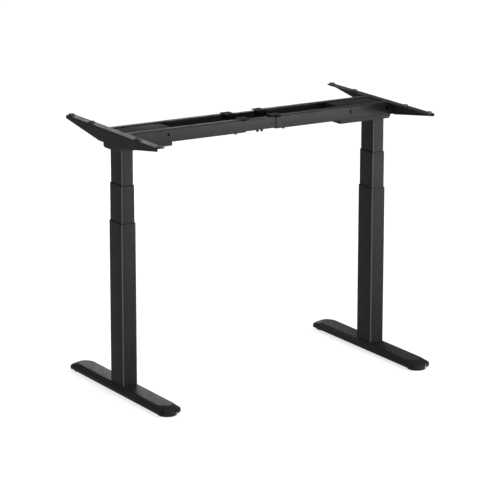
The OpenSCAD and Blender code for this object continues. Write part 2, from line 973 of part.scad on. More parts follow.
// Hexagon screw pointing up, with the underside of its head on the XY plane
module small_screw(head_h, up) {
    translate([0, 0, -head_h])
        cylinder(d = small_head_d, h = head_h, $fn = 6);
    translate([0, 0, -head_h / 2])
        cylinder(d = small_bolt_d, h = head_h / 2 + up);
}

// Lock screws that hold the beam's width
module lock_screws() {
    color(nylon)
        front_and_back()
            at_lock_screw()
                small_screw(lock_head_h, rail_sheet + nest_gap - slide_gap);
}

// Levelling glide: cup on the floor, and a stud with its lock nut
module glide(end) {
    rest_z = foot_top_z - foot_sheet - boss_depth - slide_gap;
    color(rubber)
        at_glide(end)
            difference() {
                glide_cup();
                translate([0, 0, glide_floor])
                    cylinder(d = glide_d - 2 * glide_wall, h = glide_h);
            }
    color(steel)
        at_glide(end) {
            translate([0, 0, glide_floor])
                cylinder(d = stud_d, h = foot_top_z - foot_sheet - stud_top_gap - glide_floor);
            translate([0, 0, glide_floor])
                cylinder(r = hex_r(nut_flats), h = rest_z - glide_floor, $fn = 6);
        }
}

// Outside of a glide's cup, with rounded rims
module glide_cup() {
    rotate_extrude() {
        square([glide_d / 2 - glide_round, glide_h]);
        translate([0, glide_round])
            square([glide_d / 2, glide_h - 2 * glide_round]);
        for (z = [glide_round, glide_h - glide_round])
            translate([glide_d / 2 - glide_round, z])
                circle(glide_round);
    }
}

// Front centre rail, nested in the outer rails
module centre_rail() {
    inset = rail_sheet + nest_gap;
    flange = rail_flange - inset - centre_edge_play;
    color(coat)
        difference() {
            channel(
                -centre_len / 2, centre_len, rail_h - 2 * inset, flange, rail_sheet,
                bend_r, -rail_spread / 2 + inset, rail_z + inset
            );
            at_brace_bolts()
                cylinder(d = small_bolt_d + 2 * fit_gap, h = 2 * (rail_sheet + overrun), center = true);
        }
}

// Places of the front two bolts of the brace, under the centre rail
module at_brace_bolts() {
    for (x = [-1, 1])
        translate([x * brace_bolt_x, -small_bolt_y, rail_z + rail_sheet + nest_gap])
            children();
}

// Plate that ties the two centre rails, on their bottom flanges
module centre_brace() {
    seat_z = rail_z + 2 * rail_sheet + nest_gap;
    half = rail_spread / 2 - 2 * rail_sheet - nest_gap - slide_gap - bend_r / 2;
    color(coat)
        difference() {
            translate([-brace_w / 2, -half, seat_z])
                cube([brace_w, 2 * half, brace_sheet]);
            front_and_back()
                at_brace_bolts()
                    cylinder(d = small_bolt_d + 2 * fit_gap, h = rail_h);
        }
}

// Bolts of the brace, up through the centre rails
module brace_bolts() {
    color(nylon)
        front_and_back()
            at_brace_bolts()
                small_screw(brace_head_h, brace_bolt_up);
}

at_side(left) foot();  // left_foot
at_side(left) foot_bolts();  // left_foot_bolts
at_side(left) base_plate();  // left_base_plate
at_side(left) tube(0, foot_top_z, outer_len);  // left_outer_tube
at_side(left) guide(0, outer_top_z);  // left_outer_guide
at_side(left) lower_screw();  // left_lower_screw
at_side(left) tube(1, middle_z, middle_len);  // left_middle_tube
at_side(left) guide(1, middle_top_z);  // left_middle_guide
at_side(left) middle_slider();  // left_middle_slider
at_side(left) hollow_screw();  // left_hollow_screw
at_side(left) tube(2, inner_z, inner_len);  // left_inner_tube
at_side(left) inner_slider();  // left_inner_slider
at_side(left) screw_nut();  // left_screw_nut
at_side(left) drive_rod();  // left_drive_rod
at_side(left) gearbox();  // left_gearbox
at_side(left) motor();  // left_motor
at_side(left) head();  // left_head
at_side(left) head_cover();  // left_head_cover
at_side(left) head_bolts();  // left_head_bolts
at_side(left) arm();  // left_arm
at_side(left) flush_screws();  // left_flush_screws
at_side(left) arm_pads();  // left_arm_pads
at_side(left) outer_rail();  // left_front_rail
at_side(left) mirror([0, 1, 0]) outer_rail();  // left_back_rail
at_side(left) rail_clips();  // left_rail_clips
at_side(left) lock_screws();  // left_lock_screws
at_side(left) glide(-1);  // left_front_glide
at_side(left) glide(1);  // left_rear_glide
at_side(right) foot();  // right_foot
at_side(right) foot_bolts();  // right_foot_bolts
at_side(right) base_plate();  // right_base_plate
at_side(right) tube(0, foot_top_z, outer_len);  // right_outer_tube
at_side(right) guide(0, outer_top_z);  // right_outer_guide
at_side(right) lower_screw();  // right_lower_screw
at_side(right) tube(1, middle_z, middle_len);  // right_middle_tube
at_side(right) guide(1, middle_top_z);  // right_middle_guide
at_side(right) middle_slider();  // right_middle_slider
at_side(right) hollow_screw();  // right_hollow_screw
at_side(right) tube(2, inner_z, inner_len);  // right_inner_tube
at_side(right) inner_slider();  // right_inner_slider
at_side(right) screw_nut();  // right_screw_nut
at_side(right) drive_rod();  // right_drive_rod
at_side(right) gearbox();  // right_gearbox
at_side(right) motor();  // right_motor
at_side(right) head();  // right_head
at_side(right) head_cover();  // right_head_cover
at_side(right) head_bolts();  // right_head_bolts
at_side(right) arm();  // right_arm
at_side(right) flush_screws();  // right_flush_screws
at_side(right) arm_pads();  // right_arm_pads
at_side(right) outer_rail();  // right_front_rail
at_side(right) mirror([0, 1, 0]) outer_rail();  // right_back_rail
at_side(right) rail_clips();  // right_rail_clips
at_side(right) lock_screws();  // right_lock_screws
at_side(right) glide(-1);  // right_front_glide
at_side(right) glide(1);  // right_rear_glide
centre_rail();  // centre_front_rail
mirror([0, 1, 0]) centre_rail();  // centre_back_rail
centre_brace();
brace_bolts();
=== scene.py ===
"""Looks of a standing desk frame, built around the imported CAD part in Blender 4.5."""

import math

import bmesh
import bpy
from bpy.props import FloatProperty, FloatVectorProperty, IntProperty, PointerProperty
from mathutils import Matrix, Vector


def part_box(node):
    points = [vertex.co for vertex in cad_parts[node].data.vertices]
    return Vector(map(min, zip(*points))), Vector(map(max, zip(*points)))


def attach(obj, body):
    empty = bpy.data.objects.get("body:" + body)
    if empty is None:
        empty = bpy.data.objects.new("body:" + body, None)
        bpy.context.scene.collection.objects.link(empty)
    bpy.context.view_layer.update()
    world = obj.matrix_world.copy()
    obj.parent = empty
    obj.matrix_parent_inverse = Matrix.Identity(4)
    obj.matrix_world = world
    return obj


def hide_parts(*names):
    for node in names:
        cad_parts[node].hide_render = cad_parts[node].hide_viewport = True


bl_info = {
    "name": "Standing desk frame",
    "version": (1, 0, 0),
    "blender": (4, 5, 0),
    "location": "3D View > Sidebar > Desk Frame",
    "description": "Builds the visible pieces of a lifting desk frame and its studio stage",
    "category": "Object",
}

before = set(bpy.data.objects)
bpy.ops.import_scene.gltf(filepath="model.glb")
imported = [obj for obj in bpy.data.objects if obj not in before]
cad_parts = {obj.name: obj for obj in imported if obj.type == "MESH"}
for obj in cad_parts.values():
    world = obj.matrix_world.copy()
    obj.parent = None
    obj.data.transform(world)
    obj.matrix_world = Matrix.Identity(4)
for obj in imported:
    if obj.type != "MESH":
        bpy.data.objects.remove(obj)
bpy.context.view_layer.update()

MM = 0.001
SIDES = {"left": -1, "right": 1}
SHARP = math.radians(32)
# Points closer than MERGE become one, and a point within NEAR of a plane lies on it
MERGE = 0.001
NEAR = 0.01
# How far a cutter passes the face that it cuts, or one shape reaches into its neighbour
PAST = 1.0


def cad_box(node):
    """Lowest and highest corner of a CAD node, in millimetres."""
    low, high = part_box(node)
    return low / MM, high / MM


# Places that come from the frame, in millimetres
TUBE_LOW, TUBE_HIGH = cad_box("right_outer_tube")
FOOT_LOW, FOOT_HIGH = cad_box("right_foot")
GLIDE_LOW, GLIDE_HIGH = cad_box("right_rear_glide")
HEAD_LOW, _ = cad_box("right_head")
LID_LOW, LID_HIGH = cad_box("right_head_cover")
ARM_LOW, ARM_HIGH = cad_box("right_arm")
RAIL_LOW, RAIL_HIGH = cad_box("right_front_rail")
PAD_LOW, PAD_HIGH = cad_box("right_arm_pads")
COLUMN_X = (TUBE_LOW.x + TUBE_HIGH.x) / 2
GLIDE_Y = (GLIDE_LOW.y + GLIDE_HIGH.y) / 2
TOP_Z = ARM_HIGH.z
RAIL_Z = RAIL_LOW.z
RAIL_FACE_Y = RAIL_LOW.y
RAIL_IN_X = RAIL_LOW.x - COLUMN_X
PAD_R = (PAD_HIGH.x - PAD_LOW.x) / 2
PAD_END_Y = PAD_HIGH.y - PAD_R

# Places that several pieces share, with X counted from the column's axis
ACCESS_X, ACCESS_Z = 14.5, RAIL_Z + 24.5
SLOT_X, SLOT_Z = -133.0, RAIL_Z + 25.5
PAD_PLACES = [(26.0, y, 0) for y in (-PAD_END_Y, -151.0, 151.0, PAD_END_Y)]
ARM_SCREW_X, ARM_SCREW_Y = 28.0, 50.0
RAIL_SCREWS_X, RAIL_SCREW_Y = (SLOT_X, 26.0), -55.0
LOCK_X, LOCK_Y = RAIL_IN_X + 33.0, -56.0
BRACE_BOLTS_X = (-8.0, 8.0)

# Bores of the small screws, and the cones that their heads sink into
BORE_R = 3.2
BORE_DEPTH = 3.5
SINK_R = 5.7
SINK_DEPTH = 2.3
SINK_OVERLAP = 0.1


# Shapes, drawn in millimetres


def new_object(name, data):
    """Object in the scene."""
    thing = bpy.data.objects.new(name, data)
    bpy.context.scene.collection.objects.link(thing)
    return thing


def take(bm):
    """Puts a shape in a mesh of its own and frees it."""
    mesh = bpy.data.meshes.new("work")
    bm.to_mesh(mesh)
    bm.free()
    return mesh


def join(*shapes):
    """Several separate shapes as one."""
    whole = bmesh.new()
    for bm in shapes:
        mesh = take(bm)
        whole.from_mesh(mesh)
        bpy.data.meshes.remove(mesh)
    return whole


def through(bm, kind, **settings):
    """Passes a shape through one modifier and gives back what comes out."""
    work = new_object("work", take(bm))
    modifier = work.modifiers.new("work", kind)
    for key, value in settings.items():
        setattr(modifier, key, value)
    result = bmesh.new()
    result.from_object(work, bpy.context.evaluated_depsgraph_get())
    bpy.data.meshes.remove(work.data)
    return result


def combine(bm, other, operation):
    """Cuts another closed shape from this one, or joins the two."""
    tool = new_object("tool", take(other))
    result = through(bm, "BOOLEAN", operation=operation, solver="EXACT", object=tool)
    bpy.data.meshes.remove(tool.data)
    bmesh.ops.remove_doubles(result, verts=result.verts, dist=MERGE)
    bmesh.ops.dissolve_degenerate(result, edges=result.edges, dist=MERGE)
    return result


def welded(bm, *others):
    """Joins other closed shapes to this one."""
    for other in others:
        bm = combine(bm, other, "UNION")
    return bm


def cut(bm, *tools):
    """Cuts other closed shapes from this one."""
    for tool in tools:
        bm = combine(bm, tool, "DIFFERENCE")
    return bm


def sheet_metal(bm, thickness):
    """Gives a folded surface the thickness of its sheet, behind its outer face."""
    return through(bm, "SOLIDIFY", thickness=thickness, offset=-1.0, use_even_offset=True)


def block(low, high):
    """Block between two corners."""
    low, high = Vector(low), Vector(high)
    bm = bmesh.new()
    place = Matrix.Translation((low + high) / 2) @ Matrix.Diagonal((*(high - low), 1))
    bmesh.ops.create_cube(bm, size=1, matrix=place)
    return bm


def rod(base, tip, radius, tip_radius=None):
    """Round bar, or a cone, from one point to another."""
    base, tip = Vector(base), Vector(tip)
    axis = tip - base
    turn = Vector((0, 0, 1)).rotation_difference(axis).to_matrix().to_4x4()
    bm = bmesh.new()
    bmesh.ops.create_cone(
        bm,
        cap_ends=True,
        segments=48,
        radius1=radius,
        radius2=radius if tip_radius is None else tip_radius,
        depth=axis.length,
        matrix=Matrix.Translation((base + tip) / 2) @ turn,
    )
    return bm


def upright(x, y, z0, z1, radius, tip_radius=None):
    """Upright bar or cone."""
    return rod((x, y, z0), (x, y, z1), radius, tip_radius)


def countersink(x, y, face_z, up):
    """Bore and cone of a countersunk screw in a face that looks up (1) or down (-1)."""
    start, end = face_z - up * (SINK_DEPTH - SINK_OVERLAP), face_z - up * BORE_DEPTH
    bore = upright(x, y, start, end, BORE_R)
    cone = upright(x, y, face_z + up * NEAR, face_z - up * SINK_DEPTH, SINK_R, BORE_R)
    return bore, cone


def flat_shape(points):
    """One flat face through a few corners."""
    bm = bmesh.new()
    bm.faces.new([bm.verts.new(p) for p in points])
    return bm


def rectangle(w, d, z):
    """Flat rectangle about the Z axis, from half of its width and depth."""
    return flat_shape([(-w, -d, z), (w, -d, z), (w, d, z), (-w, d, z)])


def hexagon(flat_half, z):
    """Flat hexagon with the given distance from its middle to its sides."""
    r = flat_half / math.cos(math.radians(30))
    turns = [math.radians(60 * i) for i in range(6)]
    return flat_shape([(r * math.cos(a), r * math.sin(a), z) for a in turns])


def rim_edges(bm, z):
    """Edges that lie level at a height."""
    return [e for e in bm.edges if all(abs(v.co.z - z) < NEAR for v in e.verts)]


def rounded(bm, geom, radius, segments):
    """Rounds corners of a flat face, or edges of a solid or a fold of a sheet."""
    on_edges = isinstance(geom[0], bmesh.types.BMEdge)
    bmesh.ops.bevel(
        bm,
        geom=geom,
        offset=radius,
        offset_type="OFFSET",
        segments=segments,
        profile=0.5,
        affect="EDGES" if on_edges else "VERTICES",
        material=-1,
        clamp_overlap=on_edges,
    )


def pulled(bm, edges, way):
    """Pulls edges out into new faces. Gives their far points and edges."""
    made = bmesh.ops.extrude_edge_only(bm, edges=edges)["geom"]
    verts = [g for g in made if isinstance(g, bmesh.types.BMVert)]
    bmesh.ops.translate(bm, vec=way, verts=verts)
    return verts, [g for g in made if isinstance(g, bmesh.types.BMEdge)]


def faced(bm, outward):
    """Turns the faces of an open sheet so that they look outwards."""
    bmesh.ops.recalc_face_normals(bm, faces=bm.faces)
    if any(f.normal.dot(Vector(outward)) < -0.5 for f in bm.faces):
        bmesh.ops.reverse_faces(bm, faces=bm.faces)


def raised(bm, height):
    """Raises a flat face into a solid."""
    made = bmesh.ops.extrude_face_region(bm, geom=bm.faces[:])
    top = [g for g in made["geom"] if isinstance(g, bmesh.types.BMVert)]
    bmesh.ops.translate(bm, vec=(0, 0, height), verts=top)
    bmesh.ops.recalc_face_normals(bm, faces=bm.faces)
    return bm


def round_block(width, depth, radius, z0, z1):
    """Upright block with rounded corners about the column's axis."""
    bm = rectangle(width / 2, depth / 2, z0)
    rounded(bm, bm.verts[:], radius, 8)
    return raised(bm, z1 - z0)


def drop_ends(bm, bottom=True):
    """Opens an upright solid at its top, and at its bottom too."""
    level = 0.99
    ends = [f for f in bm.faces if f.normal.z > level or (bottom and f.normal.z < -level)]
    bmesh.ops.delete(bm, geom=ends, context="FACES")
    return bm


def turned(profile, rounds=(), segments=96):
    """Turned shape about the Z axis from points (radius, height), with some corners rounded."""
    bm = bmesh.new()
    verts = [bm.verts.new((r, 0, z)) for r, z in profile]
    for a, b in zip(verts, verts[1:]):
        bm.edges.new((a, b))
    if profile[0][0] > 0:
        bm.edges.new((verts[-1], verts[0]))
    for index, radius in rounds:
        rounded(bm, [verts[index]], radius, 5)
    bmesh.ops.spin(
        bm,
        geom=bm.verts[:] + bm.edges[:],
        axis=(0, 0, 1),
        cent=(0, 0, 0),
        angle=2 * math.pi,
        steps=segments,
        use_merge=True,
    )
    bmesh.ops.remove_doubles(bm, verts=bm.verts, dist=MERGE)
    bmesh.ops.recalc_face_normals(bm, faces=bm.faces)
    return bm


def moved(bm, place):
    """Moves a shape."""
    bmesh.ops.translate(bm, vec=place, verts=bm.verts)
    return bm


def copied_to(bm, places):
    """The same shape at several places."""
    copies = [moved(bm.copy(), place) for place in places]
    bm.free()
    return join(*copies)


def corners(x, y, z=0):
    """The four places at a distance from the two middle planes."""
    return [(u, v, z) for u in (-x, x) for v in (-y, y)]


def turned_over(bm, axis):
    """Mirror image of a shape across the plane at right angles to an axis."""
    scale = [1, 1, 1]
    scale["xyz".index(axis)] = -1
    bmesh.ops.scale(bm, vec=scale, verts=bm.verts)
    bmesh.ops.reverse_faces(bm, faces=bm.faces)
    return bm


def twin(bm):
    """A shape at the front together with its mirror image at the back, or the other way."""
    return join(bm, turned_over(bm.copy(), "y"))


def at_side(bm, side):
    """Moves a shape drawn about its column, with +X outwards, to its side."""
    if SIDES[side] < 0:
        turned_over(bm, "x")
    return moved(bm, (SIDES[side] * COLUMN_X, 0, 0))


def finished(name, bm, body, coat, nodes, edge=0.0, segments=2):
    """Makes a piece from a shape: in metres, smooth, with its edges broken, on its CAD body."""
    bmesh.ops.scale(bm, vec=(MM, MM, MM), verts=bm.verts)
    mesh = take(bm)
    mesh.name = name
    mesh.shade_smooth()
    mesh.set_sharp_from_angle(angle=SHARP)
    piece = new_object(name, mesh)
    piece.data.materials.append(finish(coat))
    if edge:
        breaks = piece.modifiers.new("edge break", "BEVEL")
        breaks.width = edge * MM
        breaks.segments = segments
        breaks.limit_method = "ANGLE"
        breaks.angle_limit = SHARP
        breaks.harden_normals = True
        breaks.use_clamp_overlap = True
    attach(piece, body)
    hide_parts(*nodes)
    return piece


def side_pieces(side, body, *rows):
    """Makes pieces of one side, each from its name, shape, slot, finish, CAD node and edge; the
    slot is not used.
    """
    for name, shape, slot, coat, node, edge in rows:
        shape, nodes = at_side(shape, side), [f"{side}_{node}"]
        finished(f"{side}_{name}", shape, f"{side}_{body}", coat, nodes, edge)


def add_highlight_faces(piece, is_highlit):
    """Gives some faces of a piece the highlight coat: the same coat with much stronger
    reflections, which paints a highlight on them.
    """
    piece.data.materials.append(finish("highlight_coat"))
    for face in piece.data.polygons:
        if is_highlit(face):
            face.material_index = 1


# Finishes


def new_finish(name, colour, roughness, metallic=0.0):
    """Material with a plain Principled shader."""
    material = bpy.data.materials.new(name)
    material.use_nodes = True
    shader = material.node_tree.nodes["Principled BSDF"]
    shader.inputs["Base Color"].default_value = (*colour[:3], 1.0)
    shader.inputs["Roughness"].default_value = roughness
    shader.inputs["Metallic"].default_value = metallic
    return material, shader


def drive(material, kind, sockets, target, scale, detail=2.0, stretch=(1.0, 1.0, 1.0)):
    """Drives an input of the shader by a node that noise on the piece's own places feeds."""
    nodes, links = material.node_tree.nodes, material.node_tree.links
    place = nodes.new("ShaderNodeTexCoord")
    mapping = nodes.new("ShaderNodeMapping")
    mapping.inputs["Scale"].default_value = stretch
    noise = nodes.new("ShaderNodeTexNoise")
    noise.inputs["Scale"].default_value = scale
    noise.inputs["Detail"].default_value = detail
    node = nodes.new(kind)
    links.new(place.outputs["Object"], mapping.inputs["Vector"])
    links.new(mapping.outputs["Vector"], noise.inputs["Vector"])
    links.new(noise.outputs["Fac"], node.inputs[sockets[0]])
    links.new(node.outputs[sockets[1]], nodes["Principled BSDF"].inputs[target])
    return node


def add_grain(material, scale, height, detail=3.0, stretch=(1.0, 1.0, 1.0)):
    """Fine relief of a coat or a moulding."""
    sockets = ("Height", "Normal")
    bump = drive(material, "ShaderNodeBump", sockets, "Normal", scale, detail, stretch)
    bump.inputs["Strength"].default_value = 1.0
    bump.inputs["Distance"].default_value = height


def add_cloud(material, colour, spread, scale):
    """Slow variation of the colour about its mean."""
    ramp = drive(material, "ShaderNodeValToRGB", ("Fac", "Color"), "Base Color", scale)
    for element, place, share in zip(ramp.color_ramp.elements, (0.3, 0.7), (-spread, spread)):
        element.position = place
        element.color = (*[c * (1 + share) for c in colour[:3]], 1.0)


def add_sheen_patches(material, low, high, scale):
    """Slow variation of the roughness."""
    spread = drive(material, "ShaderNodeMapRange", ("Value", "Result"), "Roughness", scale)
    for name, value in (("From Min", 0.3), ("From Max", 0.7), ("To Min", low), ("To Max", high)):
        spread.inputs[name].default_value = value


def recipes(look):
    """What each finish is made of.

    cloud is the spread and scale of the colour's variation, patches the lowest and highest
    roughness and their scale, and grain the scale, height, detail and stretch of the relief.
    """
    rough, swing, patch_scale = look.coat_roughness, 0.04, 40.0
    dull = rough + 0.15
    coat = dict(
        colour=look.coat_colour,
        rough=rough,
        cloud=(0.06, 9.0),
        patches=(rough - swing, rough + swing, patch_scale),
        grain=(1400.0, look.coat_grain),
    )
    dull_coat = dict(coat, rough=dull, patches=(dull - swing, dull + swing, patch_scale))
    nylon = dict(colour=look.nylon_colour, rough=0.5, specular=look.nylon_specular)
    rubber = dict(colour=look.rubber_colour, rough=0.72, specular=look.rubber_specular)
    gloss = dict(colour=look.glide_colour, rough=look.glide_roughness)
    oxide = dict(colour=look.screw_colour, rough=0.42, specular=look.nylon_specular)
    zinc = dict(colour=(0.56, 0.57, 0.58), rough=0.34, metallic=1.0)
    steel = dict(colour=(0.47, 0.47, 0.48), rough=0.26, metallic=1.0, grease=0.4)
    cast = dict(colour=(0.52, 0.53, 0.54), rough=0.5, metallic=1.0)
    paint = dict(colour=(0.06, 0.06, 0.065), rough=0.38)
    return {
        # Satin powder coat with a fine orange peel; a copy of it with much stronger reflections
        # for the tubes' corners and the rails' inner ends, a painted highlight there; and a dull
        # one
        "powder_coat": dict(coat, specular=look.coat_specular),
        "highlight_coat": dict(coat, specular=look.highlight_specular),
        "dull_coat": dict(dull_coat, specular=look.lid_specular),
        # Moulded nylon, black and matt, the pads' rubber and the glides' gloss plastic
        "black_nylon": dict(nylon, cloud=(0.1, 60.0), grain=(2600.0, 0.00002)),
        "pad_rubber": dict(rubber, cloud=(0.15, 120.0), grain=(1800.0, 0.00003)),
        "gloss_plastic": dict(
            gloss, specular=look.glide_specular, cloud=(0.08, 40.0), grain=(260.0, 0.00001, 1.0)
        ),
        # Blackened small screws, and zinc plated bolts, plates and nuts
        "black_oxide": dict(oxide, cloud=(0.2, 220.0), patches=(0.34, 0.5, 500.0)),
        "plated_steel": dict(zinc, cloud=(0.07, 90.0), patches=(0.28, 0.42, 300.0)),
        # Ground lead screws with a film of grease, the gearbox and the motor's satin can
        "greased_steel": dict(
            steel, cloud=(0.12, 70.0), grain=(500.0, 0.00002, 2.0, (1.0, 1.0, 12.0))
        ),
        "cast_casing": dict(cast, cloud=(0.08, 50.0), grain=(900.0, 0.00005)),
        "motor_paint": dict(paint, cloud=(0.08, 30.0), grain=(700.0, 0.00002)),
    }


def finish(name):
    """The material of a finish, made when it is first asked for."""
    if name in bpy.data.materials:
        return bpy.data.materials[name]
    recipe = recipes(bpy.context.scene.desk_frame_finish)[name]
    colour = recipe["colour"]
    material, shader = new_finish(name, colour, recipe["rough"], recipe.get("metallic", 0.0))
    if "specular" in recipe:
        shader.inputs["Specular IOR Level"].default_value = recipe["specular"]
    if "grease" in recipe:
        shader.inputs["Coat Weight"].default_value = recipe["grease"]
        shader.inputs["Coat Roughness"].default_value = 0.1
    add_cloud(material, colour, *recipe["cloud"])
    if "patches" in recipe:
        add_sheen_patches(material, *recipe["patches"])
    if "grain" in recipe:
        add_grain(material, *recipe["grain"])
    return material


# Sizes and finishes that a user would change

COLOUR = {"subtype": "COLOR", "size": 3, "min": 0.0, "max": 1.0}
SHARE = {"subtype": "FACTOR", "min": 0.0, "max": 1.0}
POWER = {"unit": "POWER", "min": 0.0, "max": 5000.0}


class DeskFrameSizes(bpy.types.PropertyGroup):
    """Sizes of the details that the looks add to the CAD part, in millimetres"""

    edge_break: FloatProperty(
        name="Edge break",
        description="Width of the broken edges of the sheet metal",
        default=0.35, min=0.0, max=1.0,
    )
    foot_blend: FloatProperty(
        name="Foot blend",
        description="Radius of the blends between the faces of a foot",
        default=3.2, min=0.5, max=5.0,
    )
    glide_round: FloatProperty(
        name="Glide rounding",
        description="Radius of the rims of a glide",
        default=2.0, min=0.5, max=3.0,
    )
    pad_round: FloatProperty(
        name="Pad rounding",
        description="Radius of the upper edge of a rubber pad",
        default=1.2, min=0.2, max=2.0,
    )
    clip_round: FloatProperty(
        name="Clip rounding",
        description="Radius of the edges of a rail clip",
        default=0.6, min=0.1, max=0.9,
    )
    curve_steps: IntProperty(
        name="Curve steps",
        description="Steps of each bowed end of a foot",
        default=36, min=12, max=96,
    )


class DeskFrameFinish(bpy.types.PropertyGroup):
    """Colours and finishes"""

    coat_colour: FloatVectorProperty(
        name="Coat colour",
        description="Colour of the powder coat",
        default=(0.014, 0.014, 0.0144), **COLOUR,
    )
    coat_roughness: FloatProperty(
        name="Coat roughness",
        description="Roughness of the powder coat",
        default=0.5, **SHARE,
    )
    coat_specular: FloatProperty(
        name="Coat specular level",
        description="Strength of the coat's reflections",
        default=0.035, **SHARE,
    )
    coat_grain: FloatProperty(
        name="Coat grain",
        description="Height of the coat's fine grain",
        default=0.00003, min=0.0, max=0.001,
        unit="LENGTH",
    )
    glide_colour: FloatVectorProperty(
        name="Glide colour",
        description="Colour of the gloss plastic",
        default=(0.012, 0.012, 0.0125), **COLOUR,
    )
    glide_roughness: FloatProperty(
        name="Glide roughness",
        description="Roughness of the gloss plastic",
        default=0.14, **SHARE,
    )
    glide_specular: FloatProperty(
        name="Glide specular level",
        description="Strength of the gloss plastic's reflections",
        default=0.12, **SHARE,
    )
    nylon_colour: FloatVectorProperty(
        name="Nylon colour",
        description="Colour of the clips, guides and sliders",
        default=(0.003, 0.003, 0.0031), **COLOUR,
    )
    nylon_specular: FloatProperty(
        name="Nylon specular level",
        description="Strength of the reflections of nylon and small screws",
        default=0.004, **SHARE,
    )
    # Reflection level of the highlight coat: raised far above the coat's own level to paint
    # highlights on the tubes' corners and the rails' inner ends
    highlight_specular: FloatProperty(
        name="Corner specular level",
        description="Strength of the reflections of the tubes' rounded corners",
        default=0.9, **SHARE,
    )
    lid_specular: FloatProperty(
        name="Lid specular level",
        description="Strength of the reflections of the heads' dull lids",
        default=0.01, **SHARE,
    )
    rubber_colour: FloatVectorProperty(
        name="Rubber colour",
        description="Colour of the pads under the desk top",
        default=(0.0015, 0.0015, 0.0016), **COLOUR,
    )
    rubber_specular: FloatProperty(
        name="Rubber specular level",
        description="Strength of the reflections of the pads under the desk top",
        default=0.0008, **SHARE,
    )
    screw_colour: FloatVectorProperty(
        name="Screw colour",
        description="Colour of the small black screws",
        default=(0.008, 0.008, 0.0084), **COLOUR,
    )


class DeskFrameStage(bpy.types.PropertyGroup):
    """Floor, lights and camera"""

    floor_colour: FloatVectorProperty(
        name="Floor colour",
        description="Colour of the pale floor",
        default=(0.3, 0.3, 0.3), **COLOUR,
    )
    floor_glow: FloatProperty(
        name="Floor glow",
        description="Light that the floor gives off by itself, as a light table does",
        default=0.75, min=0.0, max=5.0,
    )
    sky_strength: FloatProperty(
        name="Sky strength",
        description="Brightness of the soft light from all round",
        default=0.38, min=0.0, max=5.0,
    )
    sun_strength: FloatProperty(
        name="Overhead light",
        description="Strength of the wide, soft light overhead",
        default=2.0, min=0.0, max=20.0,
    )
    key_power: FloatProperty(
        name="Key light",
        description="Power of the soft light in front, on the right",
        default=21.5, **POWER,
    )
    key_spread: FloatProperty(
        name="Key spread",
        description="Angle over which the key light fans out, in degrees",
        default=22.0, min=1.0, max=180.0,
    )
    back_power: FloatProperty(
        name="Back light",
        description="Power of the soft light behind, on the right",
        default=38.0, **POWER,
    )
    strip_power: FloatProperty(
        name="Strip light",
        description="Power of the tall, narrow light in front, on the left",
        default=60.0, **POWER,
    )
    camera_place: FloatVectorProperty(
        name="Camera place",
        description="Where the camera stands",
        subtype="TRANSLATION",
        unit="LENGTH",
        size=3,
        default=(-4.562577, -7.418067, 2.663055),
    )
    camera_turn: FloatVectorProperty(
        name="Camera turn",
        description="Tilt down, roll and heading of the camera, in degrees",
        size=3,
        default=(14.5045, 0.0698, 31.5866),
    )
    lens: FloatProperty(
        name="Lens",
        description="Focal length on a 36 mm sensor, in millimetres",
        default=196.694, min=10.0, max=500.0,
    )


# Pieces


